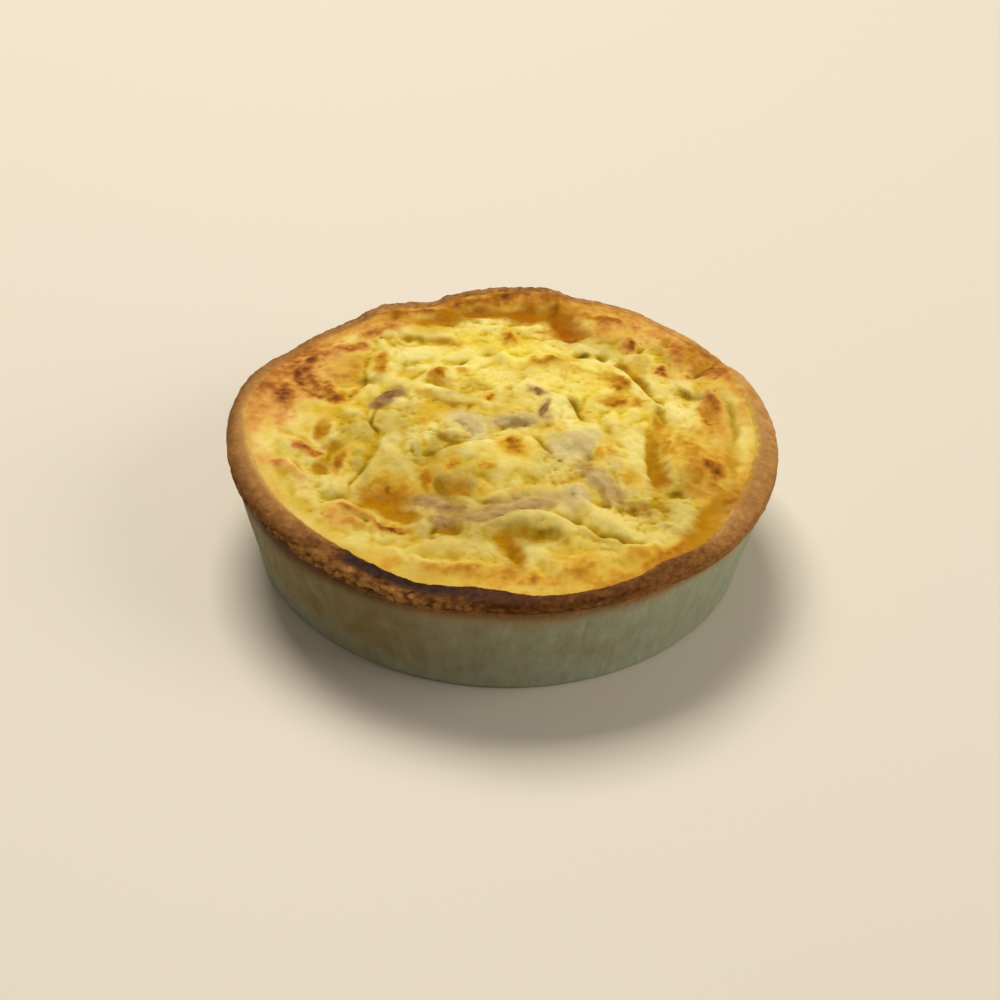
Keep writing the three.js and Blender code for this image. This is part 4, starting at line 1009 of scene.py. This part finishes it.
def case_section(degrees):
    """Rows of radius and height at compass angles, from under the base up the outside to the inner floor."""
    shoulder, inner, lip = shoulder_at(degrees), inner_at(degrees), lip_at(degrees)
    rim_foot = crest_at(degrees) - RIM_ROUNDING
    middle, half = (shoulder + inner) / 2, (shoulder - inner) / 2
    rows = [(0, 0), (BASE_RADIUS / 2, 0)]
    for a in np.linspace(0, math.pi / 2, BASE_STEPS):
        rows.append((BASE_RADIUS - BASE_ROUNDING * (1 - math.sin(a)), BASE_ROUNDING * (1 - math.cos(a))))
    for t in np.linspace(0.05, 1, WALL_STEPS):
        out, up = shoulder - TURN_OUT - BASE_RADIUS, lip - TURN_UP - BASE_ROUNDING
        rows.append((BASE_RADIUS + out * t, BASE_ROUNDING + up * t))
    for t in np.linspace(0.2, 1, UNDER_RIM_STEPS):
        rows.append((shoulder - TURN_OUT * (1 - smooth(t)), lip - TURN_UP * (1 - t)))
    for t in np.linspace(0.15, 1, RIM_SIDE_STEPS):
        rows.append((shoulder, lip + (rim_foot - lip) * t))
    for a in np.linspace(0, math.pi, RIM_TOP_STEPS)[1:-1]:
        rows.append((middle + half * math.cos(a), rim_foot + RIM_ROUNDING * math.sin(a)))
    for t in np.linspace(0, 1, INNER_STEPS):
        rows.append((inner - INNER_DRAW * t, rim_foot + (INNER_DRAW_HEIGHT - rim_foot) * t))
    rows += [(INNER_FLOOR_RADIUS, FLOOR_THICKNESS), (0, FLOOR_THICKNESS)]
    return [np.array([np.broadcast_to(row[k], degrees.shape) for row in rows], float) for k in (0, 1)]


def flakes_at(place, r, z, turn):
    """How much the rim's lower edge flakes at each place, and how high each place is on its flake."""
    strength, reach = (round_the_rim(FLAKES, turn, column) for column in (1, 2))
    down = lip_at(turn) - z - 0.8 * (SHOULDER_RADIUS - r)
    ragged = 1 + 0.8 * noise(place, 4, 56) + 0.5 * noise(place, 1.8, 57)
    away = np.abs(down + FLAKE_LEVEL) / (reach * ragged).clip(0.3)
    strength = strength * smooth(1.2 - away) * (r > FLAKE_RADIUS)
    along = np.radians(turn) * 45 + 0.5 * noise(place, 2, 58)
    near = pits(along, down + 0.4 * noise(place, 3, 54), FLAKE_SIZE, 55)
    return strength, np.clip(1.15 - (near / 0.62) ** 2, 0, 1)


def rim_bake(across, z, turn):
    """How dark the rim is baked, from its inner edge over the top, and down its outer side."""
    at_inner, on_top, at_outer = (round_the_rim(RIM_BAKE, turn, column) for column in (1, 2, 3))
    inward = at_inner + (on_top - at_inner) * smooth(across * 2.2)
    outward = on_top + (at_outer - on_top) * smooth((across - 0.5) * 2.2)
    over_top = np.where(across < 0.5, inward, outward)
    return np.where(z < crest_at(turn) - RIM_ROUNDING, at_outer, over_top)


def wall_color(place, z, turn, patchy, speckle):
    """Pale wall with streaks and tan patches, browner and darker towards the front left with painted shade,
    and baked dark just under the rim, with painted shadow under the rim's overhang.
    """
    browning_and_shade = round_the_rim(WALL_BROWNING_AND_SHADE, turn) * smooth(0.3 + z / 20) + 0.2 * patchy
    streaks = layered(np.stack([place[..., 0], place[..., 1], z * 0.16], -1), 2.4, 78, 4, 0.7)
    lighter = 0.1 * streaks + 0.14 * smooth(1 - z / 14)
    color = mix(WALL_PALE, WALL_SHADED_BROWN, browning_and_shade) * (1 + lighter)[..., None]
    color = mix(color, WALL_STAIN, 0.35 * patches(WALL_STAINS, turn, z) * (1 + speckle))
    # Baked brown with painted shadow, just under the rim's overhang
    under, reach = (round_the_rim(UNDER_RIM_BAKE_AND_SHADE, turn, column) for column in (1, 2))
    depth = lip_at(turn) - z + 0.5 * patchy + 0.3 * speckle
    scorched_and_shaded = ramp(BAKED, np.clip(under + 0.08 * speckle + 0.06 * patchy, 0.2, 1.1))
    return mix(color, scorched_and_shaded, 0.9 * smooth(1.3 - depth / (2 * reach)))


def case_look(place, r, z, turn):
    """Colour and roughness of the pastry: pale up the wall, baked over the rim."""
    lip = lip_at(turn)
    across = (r - inner_at(turn)) / (shoulder_at(turn) - inner_at(turn))
    patchy = layered(place, 5, 71, 4, 0.6)
    speckle = layered(place, 1.5, 75, 3, 0.7)
    bake = rim_bake(across, z, turn) + 0.06 * patchy
    bake = bake + (0.03 + 0.1 * round_the_rim(CRUMBLINESS, turn)) * speckle
    color = ramp(BAKED, np.clip(bake, 0.2, 1.1))
    skin, _ = custard_look(place[..., 0], place[..., 1], 0 * r, 0 * r)
    skin_edge = round_the_rim(RIM_SKIN, turn) + 0.12 * patchy + 0.1 * speckle
    color = mix(color, skin, smooth(0.3 + (skin_edge - across) / 0.5) * (z > lip))
    color = mix(wall_color(place, z, turn, patchy, speckle), color, smooth((z - lip + 0.5) / 0.6))
    flakes, high = flakes_at(place, r, z, turn)
    # Painted shade low in the gaps between flakes, then pale tops that are partly painted highlight
    color = mix(color, FLAKE_GAP_SHADE, 0.55 * flakes * smooth((0.5 - high) / 0.5))
    color = mix(color, FLAKE_TAN_AND_HIGHLIGHT, 0.6 * flakes * smooth((high - 0.4 + 0.5 * speckle) / 0.6))
    rough = 0.72 - 0.2 * smooth((bake - 0.7) / 0.25) * (z > lip) + 0.06 * speckle
    return np.clip(color, 0, 1), rough


def case_relief(place, r, z, turn):
    """How far the crumbs, cracks and flakes push the pastry out, and how far they lift it."""
    crumbly = round_the_rim(CRUMBLINESS, turn)
    rim = smooth((z - SHOULDER_HEIGHT + 1.5) / 2) * (r > PLAIN_INSIDE)
    outer = smooth((r - OUTER_SIDE) / OUTER_FADE) * rim
    lumps = layered(place, 2.6, 31, 3)
    push = rim * (crumbly * (0.4 * lumps + 0.2 * layered(place, 0.9, 35, 2)) + 0.1 * lumps)
    push += 1.1 * outer * np.clip(crumbly - 0.6, 0, 1) * np.abs(noise(place, 1.9, 41))

    # Cracks and slow waves run up the wall
    a = np.radians(turn)
    around = np.stack([75 * np.cos(a), 75 * np.sin(a), z * 0.12], -1)
    cracks = layered(around, 2.4, 38, 3)
    wall = smooth((z - 0.5) / 2) * smooth((SHOULDER_HEIGHT - 1 - z) / 3) * (r > PLAIN_INSIDE)
    push += wall * (0.1 * cracks - 0.22 * smooth((np.abs(cracks) - 0.75) / 0.3) + 0.3 * noise(place, 17, 44))

    crumbs = 0.3 * layered(place, 2.4, 46, 3) - 0.15 + 0.12 * noise(place, 0.8, 48)
    lift = rim * (crumbly * crumbs + 0.12 * noise(place, 3, 49))
    flakes, high = flakes_at(place, r, z, turn)
    push -= 0.9 * flakes * (1 - high)
    lift -= flakes * (0.9 * np.abs(noise(around, 3, 59)) + 0.5 * np.abs(noise(around, 1.2, 60)))

    # The rim's lower edge hangs down unevenly
    fringe = outer * smooth((SHOULDER_HEIGHT + 1.6 - z) / 1.6)
    lift -= fringe * (0.2 + 1.5 * np.clip(crumbly - 0.4, 0, 1)) * np.abs(layered(around, 2.4, 51, 3))
    return push, lift


def make_case():
    degrees = np.arange(CASE_STEPS) * 360 / CASE_STEPS
    r, z = case_section(degrees)
    a = np.radians(degrees)[None, :]
    turn = np.broadcast_to(((degrees + 180) % 360 - 180)[None, :], r.shape)
    push, lift = case_relief(np.stack([r * np.cos(a), r * np.sin(a), z], -1), r, z, turn)
    # The underside stays flat
    z = np.where(z > 1, z + lift, z)
    r = np.maximum(r + push, 0)
    place = np.stack([r * np.cos(a), r * np.sin(a), z], -1)
    return make_ringed("pastry", place, *case_look(place, r, z, turn))


# Shape of the ham

HAM_STEPS = 48
HAM_SIDES = 48
HAM_FAT_AND_GLINT = srgb(220, 196, 144)

# How deep a piece's edges are sunk in the custard, how much wider it is there, and how the width wavers
HAM_EDGE_SUNK = 0.14
HAM_SPREAD = 1.12
HAM_WAVER = 0.4

# Powers that shape a piece: squarer across than a circle, slim above and full below
ACROSS_POWER = 0.8
ABOVE_POWER = 3.4
BELOW_POWER = 0.8


def softened(line, steps):
    """A number of points along a line, with its corners smoothed away."""
    corners = np.array(line, float)
    t, spans = np.linspace(0, 1, steps), np.linspace(0, 1, len(corners))
    many = np.stack([np.interp(t, spans, corners[:, axis]) for axis in (0, 1)], -1)
    for _ in range(6):
        many[1:-1] = (many[:-2] + 2 * many[1:-1] + many[2:]) / 4
    return many


def ham_color(x, y, above, strands, tint):
    """Lean with fatty strands, pale spots of painted glint, and the custard's skin running over it towards
    the edges.
    """
    flat = on_floor(x, y)
    blotch = layered(flat, 4, 69, 2)
    # Fatty strands, and pale spots that are painted glints
    fat_and_glints = 0.5 * strands + 0.8 * smooth((noise(flat, 1.8, 66) - 0.5) / 0.3)
    bare = (0.5 + 0.4 * max(tint, 0)) * smooth(above * 1.4 - 0.1 + 0.35 * blotch)
    skin, _ = custard_look(x, y, 0 * x, 0 * x)
    return np.clip(mix(skin, mix(ramp(HAM_TINTS, tint + 0.9 * blotch), HAM_FAT_AND_GLINT, fat_and_glints), bare), 0, 1)


def make_ham(name, line, wide, thick, proud, tint):
    """A strip of ham whose top lies along the custard."""
    t = np.linspace(0, 1, HAM_STEPS + 1)[:, None]
    a = (np.arange(HAM_SIDES) * 2 * math.pi / HAM_SIDES)[None, :]
    middle = softened(line, HAM_STEPS + 1)
    ahead = np.gradient(middle, axis=0)
    ahead /= np.linalg.norm(ahead, axis=1)[:, None]

    def beside(across):
        x, y = middle[:, 0, None], middle[:, 1, None]
        return x - ahead[:, 1, None] * across, y + ahead[:, 0, None] * across

    fullness = (1 - np.abs(2 * t - 1) ** 3) ** 0.5
    squarer = np.sign(np.cos(a)) * np.abs(np.cos(a)) ** ACROSS_POWER
    across = squarer * fullness * wide * HAM_SPREAD / 2
    across = across * (1 + HAM_WAVER * noise(on_floor(*beside(across)), 3.2, 64))
    x, y = beside(across)
    above = np.clip(np.sin(a), 0, 1) ** ABOVE_POWER * fullness**2
    below = np.clip(-np.sin(a), 0, 1) ** BELOW_POWER * fullness
    along = t * math.dist(line[0], line[-1])
    strands = layered(np.stack([0.25 * along + 0 * x, across, 0 * x], -1), 1.3, 68, 2)
    wavy = 0.45 * noise(on_floor(x, y), 3.4, 61) + 0.3 * strands
    sunk = HAM_EDGE_SUNK
    z = custard_top(x, y) - sunk + above * (proud + sunk + wavy) - below * (thick - proud - sunk)
    color = ham_color(x, y, above, strands, tint)
    return make_ringed("dressed_" + name, np.stack([x, y, z], -1), color, np.full(x.shape, 0.45))


# Materials


class Shader:
    """A new material's nodes, with short ways to add and fill them. Sizes are in millimetres."""

    def __init__(self, name):
        self.material = bpy.data.materials.new(name)
        self.material.use_nodes = True
        self.tree = self.material.node_tree
        self.surface = self.tree.nodes["Principled BSDF"]

    def fill(self, node, **inputs):
        """Puts values or the outputs of other nodes into a node's inputs."""
        for key, value in inputs.items():
            socket = node.inputs[key.replace("_", " ")]
            if isinstance(value, bpy.types.NodeSocket):
                self.tree.links.new(value, socket)
            else:
                socket.default_value = value
        return node

    def put(self, kind, **inputs):
        return self.fill(self.tree.nodes.new(kind), **inputs)

    def stored(self, name, output):
        node = self.put("ShaderNodeAttribute")
        node.attribute_name = name
        return node.outputs[output]

    def noise(self, size, detail=3.0):
        """Noise from 0 to 1 with lumps of a size."""
        where = self.put("ShaderNodeTexCoord").outputs["Object"]
        scale = 1 / (size * MM)
        return self.put("ShaderNodeTexNoise", Vector=where, Scale=scale, Detail=detail).outputs["Fac"]

    def bump(self, height, distance, strength, **under):
        """A bumpy normal, over another one that is given as Normal."""
        node = self.put("ShaderNodeBump", Height=height, Distance=distance * MM, Strength=strength, **under)
        return node.outputs["Normal"]

    def glow(self, weight, depth, radius):
        """Light that spreads under the surface."""
        depth *= MM
        self.fill(self.surface, Subsurface_Weight=weight, Subsurface_Scale=depth, Subsurface_Radius=radius)

    def food(self, mottle_size, mottling, normal, gloss):
        """The material with the colour, finely mottled, and the roughness that are stored on the mesh."""
        low, high = 1 - mottling, 1 + mottling
        brightness = self.put("ShaderNodeMapRange", Value=self.noise(mottle_size), To_Min=low, To_Max=high)
        mottled = self.put("ShaderNodeVectorMath")
        mottled.operation = "SCALE"
        self.fill(mottled, Vector=self.stored("tint", "Color"), Scale=brightness.outputs["Result"])
        self.fill(self.surface, Base_Color=mottled.outputs["Vector"], Roughness=self.stored("matte", "Fac"))
        self.fill(self.surface, Normal=normal, Specular_IOR_Level=gloss)
        return self.material


def custard_material():
    s = Shader("custard")
    s.glow(0.3, 2, (1.0, 0.6, 0.2))
    normal = s.bump(s.noise(2), 0.4, 0.4, Normal=s.bump(s.noise(0.9, 2.0), 0.2, 0.5))
    return s.food(mottle_size=1.2, mottling=0.08, normal=normal, gloss=0.03)


def pastry_material():
    s = Shader("pastry")
    normal = s.bump(s.noise(1.2), 0.5, 0.3, Normal=s.bump(s.noise(0.6), 0.3, 0.35))
    return s.food(mottle_size=0.8, mottling=0.1, normal=normal, gloss=0.08)


def ham_material():
    s = Shader("ham")
    s.glow(0.3, 1.5, (1.0, 0.5, 0.3))
    return s.food(mottle_size=1.2, mottling=0.08, normal=s.bump(s.noise(1), 0.3, 0.3), gloss=0.08)


def floor_material():
    s = Shader("floor")
    s.fill(s.surface, Base_Color=(*srgb(232, 220, 199), 1), Roughness=0.6)
    return s.material


# Put together


def dress(piece, node, material):
    piece.data.materials.append(material)
    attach(piece, "root")
    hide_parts(node)


dress(make_custard(), "filling", custard_material())
dress(make_case(), "pastry_case", pastry_material())
ham_look = ham_material()
for node, sizes in HAM.items():
    dress(make_ham(node, *sizes), node, ham_look)


# Floor, light and camera

FLOOR_SIZE = 3.0
bpy.ops.mesh.primitive_plane_add(size=FLOOR_SIZE, location=(0, 0, 0))
floor = bpy.context.object
floor.name = "floor"
floor.data.materials.append(floor_material())

# The lights face a point in the custard
LIT_POINT = Vector((0, 0, 0.03))


def area_light(name, place, size, power, color):
    lamp = bpy.data.lights.new(name, "AREA")
    lamp.size, lamp.energy, lamp.color = size, power, color
    thing = bpy.data.objects.new(name, lamp)
    thing.location = place
    thing.rotation_euler = (LIT_POINT - Vector(place)).to_track_quat("-Z", "Y").to_euler()
    bpy.context.collection.objects.link(thing)


area_light("key", place=(-0.3, 0.85, 1.6), size=0.85, power=27.0, color=(1.0, 0.97, 0.92))
area_light("fill", place=(1.3, -0.2, 0.8), size=1.0, power=8.0, color=(1.0, 0.98, 0.96))

WORLD_COLOR = (1.0, 0.98, 0.95, 1)
WORLD_STRENGTH = 0.2
world = bpy.data.worlds.new("studio")
world.use_nodes = True
world.node_tree.nodes["Background"].inputs["Color"].default_value = WORLD_COLOR
world.node_tree.nodes["Background"].inputs["Strength"].default_value = WORLD_STRENGTH
bpy.context.scene.world = world
bpy.context.scene.view_settings.view_transform = "Standard"

# The camera stands where the photograph was taken from
VIEW_DISTANCE = 0.5642
VIEW_ELEVATION = 37.95
VIEW_TILT = 37.18
VIEW_ROLL = 2.55
VIEW_LENS = 72
SENSOR_WIDTH = 36

elevation, tilt, roll = (math.radians(v) for v in (VIEW_ELEVATION, VIEW_TILT, VIEW_ROLL))
ahead = Vector((0, math.cos(tilt), -math.sin(tilt)))
level_right = Vector((1, 0, 0))
level_up = level_right.cross(ahead)
right = level_right * math.cos(roll) + level_up * math.sin(roll)
up = level_up * math.cos(roll) - level_right * math.sin(roll)
stand = Vector((0, -VIEW_DISTANCE * math.cos(elevation), VIEW_DISTANCE * math.sin(elevation)))
camera_data = bpy.data.cameras.new("camera")
camera_data.lens = VIEW_LENS
camera_data.sensor_width = SENSOR_WIDTH
camera = bpy.data.objects.new("camera", camera_data)
turned = Matrix((right, up, -ahead)).transposed().to_4x4()
camera.matrix_world = Matrix.Translation(stand) @ turned
bpy.context.collection.objects.link(camera)
bpy.context.scene.camera = camera
